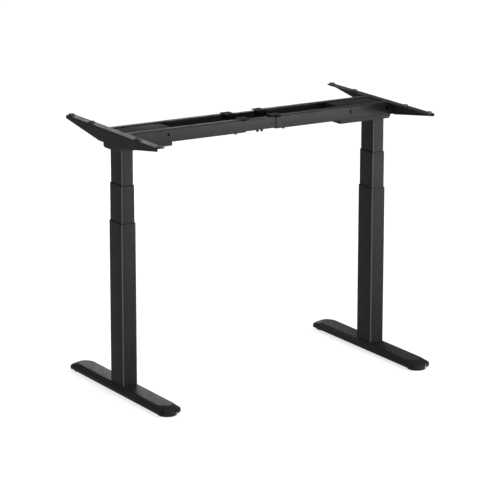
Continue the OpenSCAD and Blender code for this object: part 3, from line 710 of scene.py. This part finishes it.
class DESKFRAME_OT_feet(bpy.types.Operator):
    """Pressed shells of the two feet, with the bolts that hold the columns"""

    bl_idname = "desk_frame.feet"
    bl_label = "Feet"

    sheet = 3.0
    skirt_top = 20.5
    skirt_bow = 20.0
    skirt_angle = math.radians(52)
    top_half_w = 27.5
    top_inset = 26.0
    top_bow = 38.0
    top_angle = math.radians(90)
    corner_cut = 2.0
    notch_x = (-33.0, 19.0)
    boss_r = 9.0
    boss_depth = 19.0
    stud_hole_r = 4.3
    bolt_x, bolt_y = 14.0, 28.0
    bolt_half = 6.5
    bolt_head_h = 5.0
    bolt_round = 0.8
    bolt_r = 4.0
    bolt_length = 16.0

    def outline(self, bm, half_w, tip, bow, angle, z):
        """Closed outline with straight sides and bowed ends. Gives its edges."""
        steps = bpy.context.scene.desk_frame_sizes.curve_steps
        old = set(bm.verts)
        arcs = []
        for turn in (0, math.pi):
            start = bm.verts.new((math.sin(angle), math.cos(angle), 0))
            bmesh.ops.spin(
                bm, geom=[start], axis=(0, 0, 1), cent=(0, 0, 0), angle=2 * angle, steps=steps
            )
            bm.verts.ensure_lookup_table()
            arc = bm.verts[-steps - 1 :]
            depth = bow / (1 - math.cos(angle))
            bmesh.ops.scale(bm, vec=(half_w / math.sin(angle), depth, 1), verts=arc)
            bmesh.ops.translate(bm, vec=(0, tip - depth, z), verts=arc)
            bmesh.ops.rotate(bm, matrix=Matrix.Rotation(turn, 3, "Z"), cent=(0, 0, 0), verts=arc)
            arcs.append(arc)
        for a, b in (arcs, arcs[::-1]):
            bm.edges.new((a[-1], b[0]))
        rounded(bm, [arc[i] for arc in arcs for i in (0, -1)], self.corner_cut, 4)
        return [e for e in bm.edges if not old & set(e.verts)]

    def form(self, inset):
        """Closed form of the foot: upright skirt, sloping sides and flat top."""
        half_w = (FOOT_HIGH.x - FOOT_LOW.x) / 2 - inset
        tip = FOOT_HIGH.y - inset
        bottom = FOOT_LOW.z - (PAST if inset else 0.0)
        top = FOOT_HIGH.z - inset
        bm = bmesh.new()
        sole = self.outline(bm, half_w, tip, self.skirt_bow, self.skirt_angle, bottom)
        _, fold = pulled(bm, sole, (0, 0, self.skirt_top - bottom))
        rim = self.outline(
            bm, self.top_half_w - inset, tip - self.top_inset, self.top_bow, self.top_angle, top
        )
        bmesh.ops.bridge_loops(bm, edges=fold + rim)
        for loop in (sole, rim):
            bmesh.ops.contextual_create(bm, geom=loop)
        bmesh.ops.recalc_face_normals(bm, faces=bm.faces)
        return bm

    def openings(self, side):
        """Cutters of the openings over the glides, wider on the left at the front."""
        x0, x1 = self.notch_x
        if SIDES[side] < 0:
            x0, x1 = -x1, -x0
        low = (x0, -FOOT_HIGH.y - PAST, FOOT_LOW.z - PAST)
        front = block(low, (x1, self.skirt_bow - FOOT_HIGH.y, self.skirt_top))
        back = front.copy()
        half_turn = Matrix.Rotation(math.pi, 3, "Z")
        bmesh.ops.rotate(back, matrix=half_turn, cent=(0, 0, 0), verts=back.verts)
        return join(front, back)

    def foot(self, side):
        """Shell with its end openings, and the nut bosses over the glides."""
        bm = self.form(0)
        folds = rim_edges(bm, self.skirt_top) + rim_edges(bm, FOOT_HIGH.z)
        rounded(bm, folds, bpy.context.scene.desk_frame_sizes.foot_blend, 5)
        bm = cut(bm, self.form(self.sheet), self.openings(side))
        under = FOOT_HIGH.z - self.sheet
        low = under - self.boss_depth
        boss = upright(0, GLIDE_Y, low, FOOT_HIGH.z - self.sheet / 2, self.boss_r)
        bore = upright(0, GLIDE_Y, low - PAST, under, self.stud_hole_r)
        return cut(welded(bm, twin(boss)), twin(bore))

    def bolts(self):
        """Hexagon bolts up through the foot."""
        head = raised(hexagon(self.bolt_half, 0), self.bolt_head_h)
        rounded(head, rim_edges(head, 0), self.bolt_round, 3)
        shank = upright(0, 0, self.bolt_head_h, self.bolt_length, self.bolt_r)
        z = FOOT_HIGH.z - self.sheet - self.bolt_head_h
        return copied_to(join(head, shank), corners(self.bolt_x, self.bolt_y, z))

    def execute(self, context):
        edge = context.scene.desk_frame_sizes.edge_break
        for side in SIDES:
            side_pieces(
                side,
                "base",
                ("foot_shell", self.foot(side), "foot_coat", "powder_coat", "foot", edge),
                ("foot_bolt_set", self.bolts(), "zinc_steel", "plated_steel", "foot_bolts", 0.0),
            )
        return {"FINISHED"}


class DESKFRAME_OT_glides(bpy.types.Operator):
    """Four levelling glides: a gloss cup on the floor, a threaded stud and its lock nut"""

    bl_idname = "desk_frame.glides"
    bl_label = "Levelling glides"

    cup_h = 20.0
    wall = 3.0
    floor = 5.0
    lip_r = 0.6
    corner_r = 1.5
    stud_r = 4.0
    pitch = 1.25
    thread_h = 0.55
    crest = (0.15, 0.4)
    root = 0.9
    tip_free = 1.0
    tip_start = 0.2
    tip_chamfer = 0.8
    nut_half = 6.5
    nut_top = 9.7
    nut_round = 0.7

    def cup(self):
        """Cup with rounded rims and a bevelled sole."""
        r = (GLIDE_HIGH.x - GLIDE_LOW.x) / 2
        inner = r - self.wall
        profile = [
            (0, 0),
            (r, 0),
            (r, self.cup_h),
            (inner, self.cup_h),
            (inner, self.floor),
            (0, self.floor),
        ]
        rounding = bpy.context.scene.desk_frame_sizes.glide_round
        return turned(profile, [(1, rounding), (2, rounding), (3, self.lip_r), (4, self.corner_r)])

    def stud(self):
        """Threaded stud up into the boss, with a chamfered nut."""
        top = GLIDE_HIGH.z
        r = self.stud_r
        profile = [(0, self.floor)]
        z = self.floor
        while z + self.pitch < top - self.tip_free:
            profile += [(r, z + up) for up in self.crest] + [(r - self.thread_h, z + self.root)]
            z += self.pitch
        profile += [(r, z + self.tip_start), (r - self.tip_chamfer, top), (0, top)]
        nut = raised(hexagon(self.nut_half, self.floor), self.nut_top - self.floor)
        rounded(nut, rim_edges(nut, self.nut_top), self.nut_round, 2)
        return join(turned(profile, segments=40), nut)

    def execute(self, context):
        for side in SIDES:
            for end, sign in (("front", -1), ("rear", 1)):
                name = f"{side}_{end}_glide"
                for part, shape, slot, coat in (
                    ("cup", self.cup(), "glide_plastic", "gloss_plastic"),
                    ("stud", self.stud(), "zinc_steel", "plated_steel"),
                ):
                    placed = at_side(moved(shape, (0, sign * GLIDE_Y, 0)), side)
                    finished(f"{name}_{part}", placed, name, coat, [name])
        return {"FINISHED"}


class DESKFRAME_OT_columns(bpy.types.Operator):
    """Three tubes of each column and the nylon guides in their mouths"""

    bl_idname = "desk_frame.columns"
    bl_label = "Columns"

    # Each tube, the end of its body's name and its outer corner radius
    stages = (("outer", "base", 3.5), ("middle", "middle", 3.0), ("inner", "upper", 2.5))
    wall = 1.5
    rim_h = 1.2
    rim_wall = 1.7
    liner = 1.6
    liner_wall = 0.5
    guide_step = 0.5
    guide_edge = 0.3
    corner_lean = 0.15

    def tube(self, low, high, radius):
        """Tube with rounded corners, open at both ends."""
        bm = round_block(high.x - low.x, high.y - low.y, radius, low.z, high.z)
        return sheet_metal(drop_ends(bm), self.wall)

    def guide(self, low, high, radius):
        """Rim over a tube's end and liner inside it, in one piece."""
        w, d = high.x - low.x, high.y - low.y
        rim_z = high.z - self.rim_h
        rim = drop_ends(round_block(w, d, radius, rim_z, high.z))
        inset = self.liner - self.liner_wall
        bm = round_block(w - 2 * inset, d - 2 * inset, radius - inset, low.z, rim_z)
        return join(sheet_metal(rim, self.rim_wall), sheet_metal(drop_ends(bm), self.liner_wall))

    def is_corner(self, face):
        """Whether a face belongs to an upright rounded corner."""
        return min(abs(face.normal.x), abs(face.normal.y)) > self.corner_lean

    def execute(self, context):
        edge = context.scene.desk_frame_sizes.edge_break
        centre = Vector((COLUMN_X, 0, 0))
        for side in SIDES:
            for stage, body, radius in self.stages:
                name, body = f"{side}_{stage}", f"{side}_{body}"
                low, high = (p - centre for p in cad_box(f"right_{stage}_tube"))
                tube, nodes = at_side(self.tube(low, high, radius), side), [f"{name}_tube"]
                piece = finished(
                    f"{name}_column", tube, body, "powder_coat", nodes, edge
                )
                # The rounded corners get the highlight coat: a painted highlight added to the line
                # that the lamps give them
                add_highlight_faces(piece, self.is_corner)
                if stage == "inner":
                    continue
                low, high = (p - centre for p in cad_box(f"right_{stage}_guide"))
                guide = at_side(self.guide(low, high, radius - self.guide_step), side)
                nodes = [f"{name}_guide"]
                finished(
                    f"{name}_collar", guide, body, "black_nylon", nodes, self.guide_edge
                )
        return {"FINISHED"}


class DESKFRAME_OT_heads(bpy.types.Operator):
    """Boxes on top of the columns, with their lids"""

    bl_idname = "desk_frame.heads"
    bl_label = "Heads"

    sheet = 2.0
    start_x = -160.5
    end_x = 38.5
    half_w = 45.7
    corner_r = 4.0
    access_bore_y = (-66.0, -49.5)
    access_bore_r = 5.5
    lead_up = 16.0
    lead_r = 7.0
    column_gap = 0.4
    column_hole_r = 2.7
    bolt_x, bolt_y = 27.5, 30.0
    fold_r = 2.6
    # Blocks that fill the space between the box and the rails' webs
    block_x = ((4.0, 36.0), (-141.0, -125.0))
    block_gap = 2.7
    block_reach = 63.2
    upper_block_h = 4.0
    upper_block_gap = 0.2
    # Tongue in the web's slot, and the pocket in it
    tongue_x = (-135.95, -130.05)
    tongue_half_h = 5.7
    tongue_face = -65.0
    pocket_wall = 0.7
    pocket_depth = 9.0
    # How far the lid and its lip stay inside the walls' faces
    lid_inset = 0.6
    lid_round = 0.5
    lip_inset = 2.2
    lip_sheet = 1.0

    def plan(self, inset, z0, z1):
        """Upright block on the head's plan."""
        width = self.end_x - self.start_x - 2 * inset
        radius = max(self.corner_r - inset, 1.5)
        bm = round_block(width, 2 * (self.half_w - inset), radius, z0, z1)
        return moved(bm, ((self.start_x + self.end_x) / 2, 0, 0))

    def bores(self):
        """Cutters of the box: access, lead and bolt holes, and the way for the column."""
        access = rod(*((ACCESS_X, y, ACCESS_Z) for y in self.access_bore_y), self.access_bore_r)
        lead_z = HEAD_LOW.z + self.lead_up
        ends = (self.start_x - PAST, self.start_x + self.sheet + PAST)
        lead = rod(*((x, 0, lead_z) for x in ends), self.lead_r)
        tube_low, tube_high = cad_box("right_inner_tube")
        way = tube_high - tube_low
        gap = self.column_gap
        z0, z1 = HEAD_LOW.z - PAST, HEAD_LOW.z + self.sheet + PAST
        column = round_block(way.x + gap, way.y + gap, self.column_hole_r, z0, z1)
        bolts = copied_to(upright(0, 0, z0, z1, BORE_R), corners(self.bolt_x, self.bolt_y))
        return join(twin(access), lead, column, bolts)

    def box(self):
        """Folded box with its blocks, bores and the way for the column."""
        lid_z = LID_HIGH.z - self.sheet
        bm = drop_ends(self.plan(0, HEAD_LOW.z, lid_z), bottom=False)
        rounded(bm, rim_edges(bm, HEAD_LOW.z), self.fold_r, 4)
        bm = sheet_metal(bm, self.sheet)
        low, high = RAIL_Z + self.block_gap, TOP_Z - self.block_gap
        y0, y1 = -self.block_reach, -self.half_w
        for x0, x1 in self.block_x:
            lower = block((x0, y0, low), (x1, y1 + PAST, lid_z))
            upper_y = y1 - self.upper_block_gap
            upper = block((x0, y0, lid_z - self.upper_block_h), (x1, upper_y, high))
            bm = welded(bm, twin(lower), twin(upper))
        (x0, x1), wall, half_h = self.tongue_x, self.pocket_wall, self.tongue_half_h
        z0, z1 = SLOT_Z - half_h, SLOT_Z + half_h
        tongue = block((x0, self.tongue_face, z0), (x1, y0 + PAST, z1))
        pocket = block(
            (x0 + wall, self.tongue_face - PAST, z0 + wall),
            (x1 - wall, self.tongue_face + self.pocket_depth, z1 - wall),
        )
        return cut(welded(bm, twin(tongue)), twin(pocket), self.bores())

    def lid(self):
        """Lid with rounded edges and a lip inside the walls."""
        under = LID_HIGH.z - self.sheet
        cover = self.plan(self.lid_inset, under, LID_HIGH.z)
        rounded(cover, rim_edges(cover, LID_HIGH.z), self.lid_round, 3)
        lip = drop_ends(self.plan(self.lip_inset, LID_LOW.z, under))
        return join(cover, sheet_metal(lip, self.lip_sheet))

    def execute(self, context):
        edge = context.scene.desk_frame_sizes.edge_break
        for side in SIDES:
            side_pieces(
                side,
                "upper",
                ("head_box", self.box(), "head_coat", "powder_coat", "head", edge),
                ("head_lid", self.lid(), "head_coat", "dull_coat", "head_cover", 0.0),
            )
        return {"FINISHED"}


class DESKFRAME_OT_arms(bpy.types.Operator):
    """Folded side arms that carry the desk top"""

    bl_idname = "desk_frame.arms"
    bl_label = "Side arms"

    sheet = 2.5
    fold_r = 3.0
    flange = 30.0
    flange_r = 6.0
    tip_h = 10.5
    tip_flat = 1.0
    slope_end_y = 75.0
    lug_half = 45.5
    lug_chamfer = 5.5
    lug_chamfer_h = 4.0
    lug_r = 2.5
    pad_hole_r = 5.0
    neck_r = 4.8
    neck_bore_r = 3.0
    bore_chamfer = (0.9, 0.6)
    barb = (1.4, 1.0)

    def arm(self):
        """Plate with its lug and slopes, folded over into the flange."""
        face = ARM_HIGH.x - COLUMN_X
        tip = ARM_HIGH.y
        half = [
            (self.lug_half - self.lug_chamfer, ARM_LOW.z),
            (self.lug_half, ARM_LOW.z + self.lug_chamfer_h),
            (self.lug_half, RAIL_Z),
            (self.slope_end_y, RAIL_Z),
            (tip - self.tip_flat, TOP_Z - self.tip_h),
            (tip, TOP_Z - self.tip_h),
            (tip, TOP_Z),
        ]
        outline = half + [(-y, z) for y, z in reversed(half)]
        bm = flat_shape([(face, y, z) for y, z in outline])
        free, _ = pulled(bm, rim_edges(bm, TOP_Z), (-self.flange, 0, 0))
        faced(bm, (1, 0, 0))
        rounded(bm, free, self.flange_r, 6)
        lug = [v for v in bm.verts if v.co.z < RAIL_Z - NEAR]
        rounded(bm, lug, self.lug_r, 4)
        top = rim_edges(bm, TOP_Z)
        fold = [e for e in top if all(abs(v.co.x - face) < NEAR for v in e.verts)]
        rounded(bm, fold, self.fold_r, 6)
        bm = sheet_metal(bm, self.sheet)
        pad_hole = upright(0, 0, TOP_Z - self.sheet - PAST, TOP_Z + PAST, self.pad_hole_r)
        screw_hole = join(*countersink(0, 0, TOP_Z, 1))
        screws = [(ARM_SCREW_X, y, 0) for y in (-ARM_SCREW_Y, ARM_SCREW_Y)]
        return cut(bm, copied_to(pad_hole, PAD_PLACES), copied_to(screw_hole, screws))

    def pad(self):
        """Rubber pad with a rounded face, a neck through the arm and a barb."""
        r, neck, bore = PAD_R, self.neck_r, self.neck_bore_r
        top = PAD_HIGH.z
        under = TOP_Z - self.sheet
        profile = [
            (bore, top - self.bore_chamfer[1]),
            (bore + self.bore_chamfer[0], top),
            (r, top),
            (r, TOP_Z),
            (neck, TOP_Z),
            (neck, under),
            (neck + self.barb[0], under - self.barb[1]),
            (neck, PAD_LOW.z),
            (bore, PAD_LOW.z),
        ]
        return turned(profile, [(2, bpy.context.scene.desk_frame_sizes.pad_round)], 64)

    def execute(self, context):
        edge = context.scene.desk_frame_sizes.edge_break
        for side in SIDES:
            pads = copied_to(self.pad(), PAD_PLACES)
            side_pieces(
                side,
                "upper",
                ("side_arm", self.arm(), "arm_coat", "powder_coat", "arm", edge),
                ("rubber_pads", pads, "pad_rubber", "pad_rubber", "arm_pads", 0.0),
            )
        return {"FINISHED"}


class DESKFRAME_OT_rails(bpy.types.Operator):
    """Outer rails, centre rails and the brace between them"""

    bl_idname = "desk_frame.rails"
    bl_label = "Rails"

    sheet = 2.5
    fold_r = 5.0
    centre_fold_r = 3.0
    flange = 20.0
    # From here outwards the arm's flange takes the place of the outer rail's top
    relief_x = 10.7
    relief_depth = 2.8
    access_r = 7.0
    slot_half_w = 3.25
    slot_half_h = 6.0
    slot_r = 1.2
    brace_r = 4.0

    def channel(self, low, high, radius):
        """Channel that opens to the back, with its web at the front."""
        bm = bmesh.new()
        section = ((high.y, high.z), (low.y, high.z), (low.y, low.z), (high.y, low.z))
        points = [bm.verts.new((low.x, y, z)) for y, z in section]
        edges = [bm.edges.new(pair) for pair in zip(points, points[1:])]
        pulled(bm, edges, (high.x - low.x, 0, 0))
        faced(bm, (0, -1, 0))
        folds = [
            e for e in bm.edges if len(e.link_faces) == 2 and abs(e.verts[0].co.y - low.y) < NEAR
        ]
        rounded(bm, folds, radius, 6)
        return sheet_metal(bm, self.sheet)

    def slot(self):
        """Cutter of the slot in the web, with rounded corners."""
        bm = rectangle(self.slot_half_w, self.slot_half_h, 0)
        rounded(bm, bm.verts[:], self.slot_r, 4)
        raised(bm, self.sheet + 2 * PAST)
        quarter_turn = Matrix.Rotation(math.radians(90), 3, "X")
        bmesh.ops.rotate(bm, matrix=quarter_turn, verts=bm.verts)
        return moved(bm, (SLOT_X, RAIL_FACE_Y + self.sheet + PAST, SLOT_Z))

    def lock_hole(self, x, z):
        """Cutter of the hole for a lock screw or a brace bolt."""
        return upright(x, LOCK_Y, z - PAST, z + self.sheet + PAST, BORE_R)

    def outer_rail(self):
        """Front outer rail about its column."""
        y0, y1, x1 = RAIL_FACE_Y, RAIL_FACE_Y + self.flange, RAIL_HIGH.x - COLUMN_X
        low, high = Vector((RAIL_IN_X, y0, RAIL_Z)), Vector((x1, y1, TOP_Z))
        relief = block(
            (self.relief_x, y0 - PAST, TOP_Z - self.relief_depth),
            (x1 + PAST, y1 + PAST, TOP_Z + PAST),
        )
        web = (y0 - PAST, y0 + self.sheet + PAST)
        access = rod(*((ACCESS_X, y, ACCESS_Z) for y in web), self.access_r)
        sinks = [c for x in RAIL_SCREWS_X for c in countersink(x, RAIL_SCREW_Y, RAIL_Z, -1)]
        bm = self.channel(low, high, self.fold_r)
        return cut(bm, relief, access, self.slot(), *sinks, self.lock_hole(LOCK_X, RAIL_Z))

    def centre_rail(self):
        """Front centre rail, nested in the outer rails."""
        low, high = cad_box("centre_front_rail")
        bm = self.channel(low, high, self.centre_fold_r)
        return cut(bm, join(*(self.lock_hole(x, low.z) for x in BRACE_BOLTS_X)))

    def brace(self):
        """Plate between the centre rails, with rounded corners."""
        low, high = cad_box("centre_brace")
        bm = rectangle((high.x - low.x) / 2, (high.y - low.y) / 2, low.z)
        rounded(bm, bm.verts[:], self.brace_r, 5)
        return raised(bm, high.z - low.z)

    def execute(self, context):
        edge = context.scene.desk_frame_sizes.edge_break
        # The cut ends that face the middle lie nearer to it than this
        near_end = (COLUMN_X + RAIL_IN_X + 1) * MM
        for end in ("front", "back"):
            rails = [(side, "upper", self.outer_rail(), "outer_rail") for side in SIDES]
            rails.append(("centre", "beam", self.centre_rail(), "inner_rail"))
            for side, body, rail, name in rails:
                if end == "back":
                    turned_over(rail, "y")
                if side in SIDES:
                    at_side(rail, side)
                name, nodes = f"{side}_{end}_{name}", [f"{side}_{end}_rail"]
                body = f"{side}_{body}"
                piece = finished(name, rail, body, "powder_coat", nodes, edge)
                # The inner end faces get the highlight coat: its stronger reflections paint a
                # highlight that lightens the ends
                if side in SIDES:
                    sign = SIDES[side]
                    add_highlight_faces(
                        piece, lambda f: f.normal.x * sign < -0.9 and abs(f.center.x) < near_end
                    )
        name, nodes = "centre_brace_plate", ["centre_brace"]
        finished(name, self.brace(), "centre_beam", "powder_coat", nodes, edge)
        return {"FINISHED"}


class DESKFRAME_OT_clips(bpy.types.Operator):
    """Nylon clips over the inner ends of the outer rails"""

    bl_idname = "desk_frame.clips"
    bl_label = "Rail clips"

    length = 35.0
    past_end = 16.0
    cap = 2.0
    reach = 38.0
    leg_from = 20.2
    leg_h = 16.0
    tab_len = 16.0
    tab_drop = 5.0
    tab_sheet = 1.5
    notch_half_w = 3.0
    edge_steps = 3

    def clip(self):
        """Front clip: cap, inner leg, and tab on the web's face, with a notch over the joint."""
        x0 = RAIL_IN_X - self.past_end
        x1 = x0 + self.length
        y, inner_y, top = RAIL_FACE_Y, RAIL_FACE_Y + self.reach, TOP_Z + self.cap
        cap = block((x0, y, TOP_Z), (x1, inner_y, top))
        leg = block((x0, y + self.leg_from, TOP_Z - self.leg_h), (x1, inner_y, TOP_Z + PAST))
        tab = block(
            (RAIL_IN_X, y - self.tab_sheet, TOP_Z - self.tab_drop),
            (RAIL_IN_X + self.tab_len, y, top),
        )
        half = self.notch_half_w
        notch = block(
            (RAIL_IN_X - half, y + half, TOP_Z + self.cap / 2),
            (RAIL_IN_X + half, inner_y + PAST, top + PAST),
        )
        return cut(welded(cap, leg, tab), notch)

    def execute(self, context):
        rounding = context.scene.desk_frame_sizes.clip_round
        for side in SIDES:
            pair = at_side(twin(self.clip()), side)
            name, nodes = f"{side}_clip_pair", [f"{side}_rail_clips"]
            body, steps = f"{side}_upper", self.edge_steps
            finished(name, pair, body, "black_nylon", nodes, rounding, steps)
        return {"FINISHED"}


class DESKFRAME_OT_screws(bpy.types.Operator):
    """Countersunk screws of the heads, lock screws of the rails and bolts of the brace"""

    bl_idname = "desk_frame.screws"
    bl_label = "Screws"

    head_r = 5.5
    shank_r = 3.0
    head_h = 2.3
    length = 15.0
    socket_half = 2.0
    socket_depth = 1.6
    shank_overlap = 0.5
    hex_half = 4.33
    hex_round = 0.6
    lock_head_h = 3.5
    lock_up = 2.6
    bolt_head_h = 6.5
    bolt_up = 7.5
    bolt_seat = RAIL_Z + 2.9
    hex_edge = 0.2

    def flush_screw(self):
        """Countersunk screw with a hexagon socket, its face on the XY plane."""
        r = self.shank_r
        low = -self.length
        profile = [(0, low), (r, low), (r, -self.head_h), (self.head_r, 0), (0, 0)]
        socket = raised(hexagon(self.socket_half, -self.socket_depth), self.socket_depth + PAST)
        return cut(turned(profile, segments=48), socket)

    def hex_screw(self, head_h, up):
        """Hexagon screw that points up, with the underside of its head on the XY plane."""
        head = raised(hexagon(self.hex_half, -head_h), head_h)
        rounded(head, rim_edges(head, -head_h), self.hex_round, 3)
        return join(head, upright(0, 0, -self.shank_overlap, up, self.shank_r))

    def execute(self, context):
        for side in SIDES:
            top = twin(moved(self.flush_screw(), (ARM_SCREW_X, -ARM_SCREW_Y, TOP_Z)))
            places = [(x, RAIL_SCREW_Y, RAIL_Z) for x in RAIL_SCREWS_X]
            under = twin(copied_to(turned_over(self.flush_screw(), "z"), places))
            lock = moved(self.hex_screw(self.lock_head_h, self.lock_up), (LOCK_X, LOCK_Y, RAIL_Z))
            finish_row = ("black_steel", "black_oxide")
            side_pieces(
                side,
                "upper",
                ("countersunk_screws", join(top, under), *finish_row, "flush_screws", 0.0),
                ("lock_screw_pair", twin(lock), *finish_row, "lock_screws", self.hex_edge),
            )
        places = [(x, LOCK_Y, self.bolt_seat) for x in BRACE_BOLTS_X]
        bolts = twin(copied_to(self.hex_screw(self.bolt_head_h, self.bolt_up), places))
        name, body, nodes = "brace_bolt_set", "centre_beam", ["brace_bolts"]
        finished(name, bolts, body, "black_oxide", nodes, self.hex_edge)
        return {"FINISHED"}


class DESKFRAME_OT_drive(bpy.types.Operator):
    """Finishes of the drive line and sliders inside the columns and heads"""

    bl_idname = "desk_frame.drive"
    bl_label = "Inner pieces"

    finishes = {
        "plated_steel": ("base_plate", "screw_nut", "head_bolts"),
        "greased_steel": ("lower_screw", "hollow_screw", "drive_rod"),
        "cast_casing": ("gearbox",),
        "motor_paint": ("motor",),
        "black_nylon": ("middle_slider", "inner_slider"),
    }

    def execute(self, context):
        for coat, parts in self.finishes.items():
            for node in (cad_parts[f"{side}_{part}"] for side in SIDES for part in parts):
                node.data.materials.clear()
                node.data.materials.append(finish(coat))
        return {"FINISHED"}


class DESKFRAME_OT_stage(bpy.types.Operator):
    """Pale floor, soft lights and the camera"""

    bl_idname = "desk_frame.stage"
    bl_label = "Stage"

    # Where each light stands, the point that it looks at and its panel, in metres
    lights = {
        "overhead light": ((1.2, -1.6, 4.0), (0, 0, 0), None),
        "key light": ((3.6, -5.2, 0.95), (0.1, 0, 1.05), (1.2, 1.2)),
        "back light": ((1.2, 3.0, 1.25), (-0.3, 0, 0.5), (1.5, 1.5)),
        "strip light": ((-6.0, -3.6, 1.0), (0, 0, 0.6), (0.3, 1.8)),
    }
    overhead_angle = math.radians(70)
    floor_half = 300.0
    floor_roughness = 0.9
    sight = 1000.0

    def soft_light(self, name, power):
        """Soft light that looks at a point: a panel, or a wide sky light from one side."""
        place, aim, panel = self.lights[name]
        data = bpy.data.lights.new(name, "AREA" if panel else "SUN")
        data.energy = power
        if panel:
            data.shape = "RECTANGLE"
            data.size, data.size_y = panel
        else:
            data.angle = self.overhead_angle
        light = new_object(name, data)
        light.location = place
        light.rotation_mode = "QUATERNION"
        light.rotation_quaternion = (Vector(aim) - Vector(place)).to_track_quat("-Z", "Y")
        return light

    def floor(self, stage):
        """Wide pale floor that gives off a little light by itself."""
        bm = bmesh.new()
        bmesh.ops.create_grid(bm, x_segments=1, y_segments=1, size=self.floor_half)
        floor = new_object("floor", take(bm))
        material, shader = new_finish("floor_paint", stage.floor_colour, self.floor_roughness)
        shader.inputs["Emission Color"].default_value = (1.0, 1.0, 1.0, 1.0)
        shader.inputs["Emission Strength"].default_value = stage.floor_glow
        floor.data.materials.append(material)

    def camera(self, stage):
        """Camera at the photograph's viewing angle."""
        camera = new_object("camera", bpy.data.cameras.new("camera"))
        tilt, roll, heading = (math.radians(a) for a in stage.camera_turn)
        turn = Matrix.Rotation(-heading, 4, "Z") @ Matrix.Rotation(math.pi / 2 - tilt, 4, "X")
        place = Matrix.Translation(stage.camera_place)
        camera.matrix_world = place @ turn @ Matrix.Rotation(roll, 4, "Z")
        camera.data.sensor_width = 36.0
        camera.data.lens = stage.lens
        camera.data.clip_end = self.sight
        bpy.context.scene.camera = camera

    def execute(self, context):
        stage = context.scene.desk_frame_stage
        self.floor(stage)
        world = bpy.data.worlds.new("studio")
        world.use_nodes = True
        sky = world.node_tree.nodes["Background"]
        sky.inputs["Color"].default_value = (1.0, 1.0, 1.0, 1.0)
        sky.inputs["Strength"].default_value = stage.sky_strength
        context.scene.world = world
        context.scene.view_settings.view_transform = "Standard"
        self.soft_light("overhead light", stage.sun_strength)
        key = self.soft_light("key light", stage.key_power)
        key.data.spread = math.radians(stage.key_spread)
        self.soft_light("back light", stage.back_power)
        self.soft_light("strip light", stage.strip_power)
        self.camera(stage)
        return {"FINISHED"}


class DESKFRAME_PT_panel(bpy.types.Panel):
    """Lists the pieces and their sizes and finishes"""

    bl_idname = "DESKFRAME_PT_panel"
    bl_label = "Standing desk frame"
    bl_space_type = "VIEW_3D"
    bl_region_type = "UI"
    bl_category = "Desk Frame"

    def draw(self, context):
        layout = self.layout
        for title, group in (
            ("Sizes", context.scene.desk_frame_sizes),
            ("Finish", context.scene.desk_frame_finish),
            ("Stage", context.scene.desk_frame_stage),
        ):
            box = layout.box()
            box.label(text=title)
            for name in group.__annotations__:
                box.prop(group, name)
        for operator in OPERATORS:
            layout.operator(operator.bl_idname)


GROUPS = {
    "desk_frame_sizes": DeskFrameSizes,
    "desk_frame_finish": DeskFrameFinish,
    "desk_frame_stage": DeskFrameStage,
}
OPERATORS = (
    DESKFRAME_OT_stage,
    DESKFRAME_OT_feet,
    DESKFRAME_OT_glides,
    DESKFRAME_OT_columns,
    DESKFRAME_OT_heads,
    DESKFRAME_OT_arms,
    DESKFRAME_OT_rails,
    DESKFRAME_OT_clips,
    DESKFRAME_OT_screws,
    DESKFRAME_OT_drive,
)


def register():
    for cls in (*GROUPS.values(), *OPERATORS, DESKFRAME_PT_panel):
        bpy.utils.register_class(cls)
    for name, group in GROUPS.items():
        setattr(bpy.types.Scene, name, PointerProperty(type=group))


def unregister():
    for name in GROUPS:
        delattr(bpy.types.Scene, name)
    for cls in (DESKFRAME_PT_panel, *reversed(OPERATORS), *reversed(GROUPS.values())):
        bpy.utils.unregister_class(cls)


def main():
    """Builds every piece and the stage."""
    register()
    for operator in OPERATORS:
        area, name = operator.bl_idname.split(".")
        getattr(getattr(bpy.ops, area), name)()


if __name__ == "__main__":
    main()
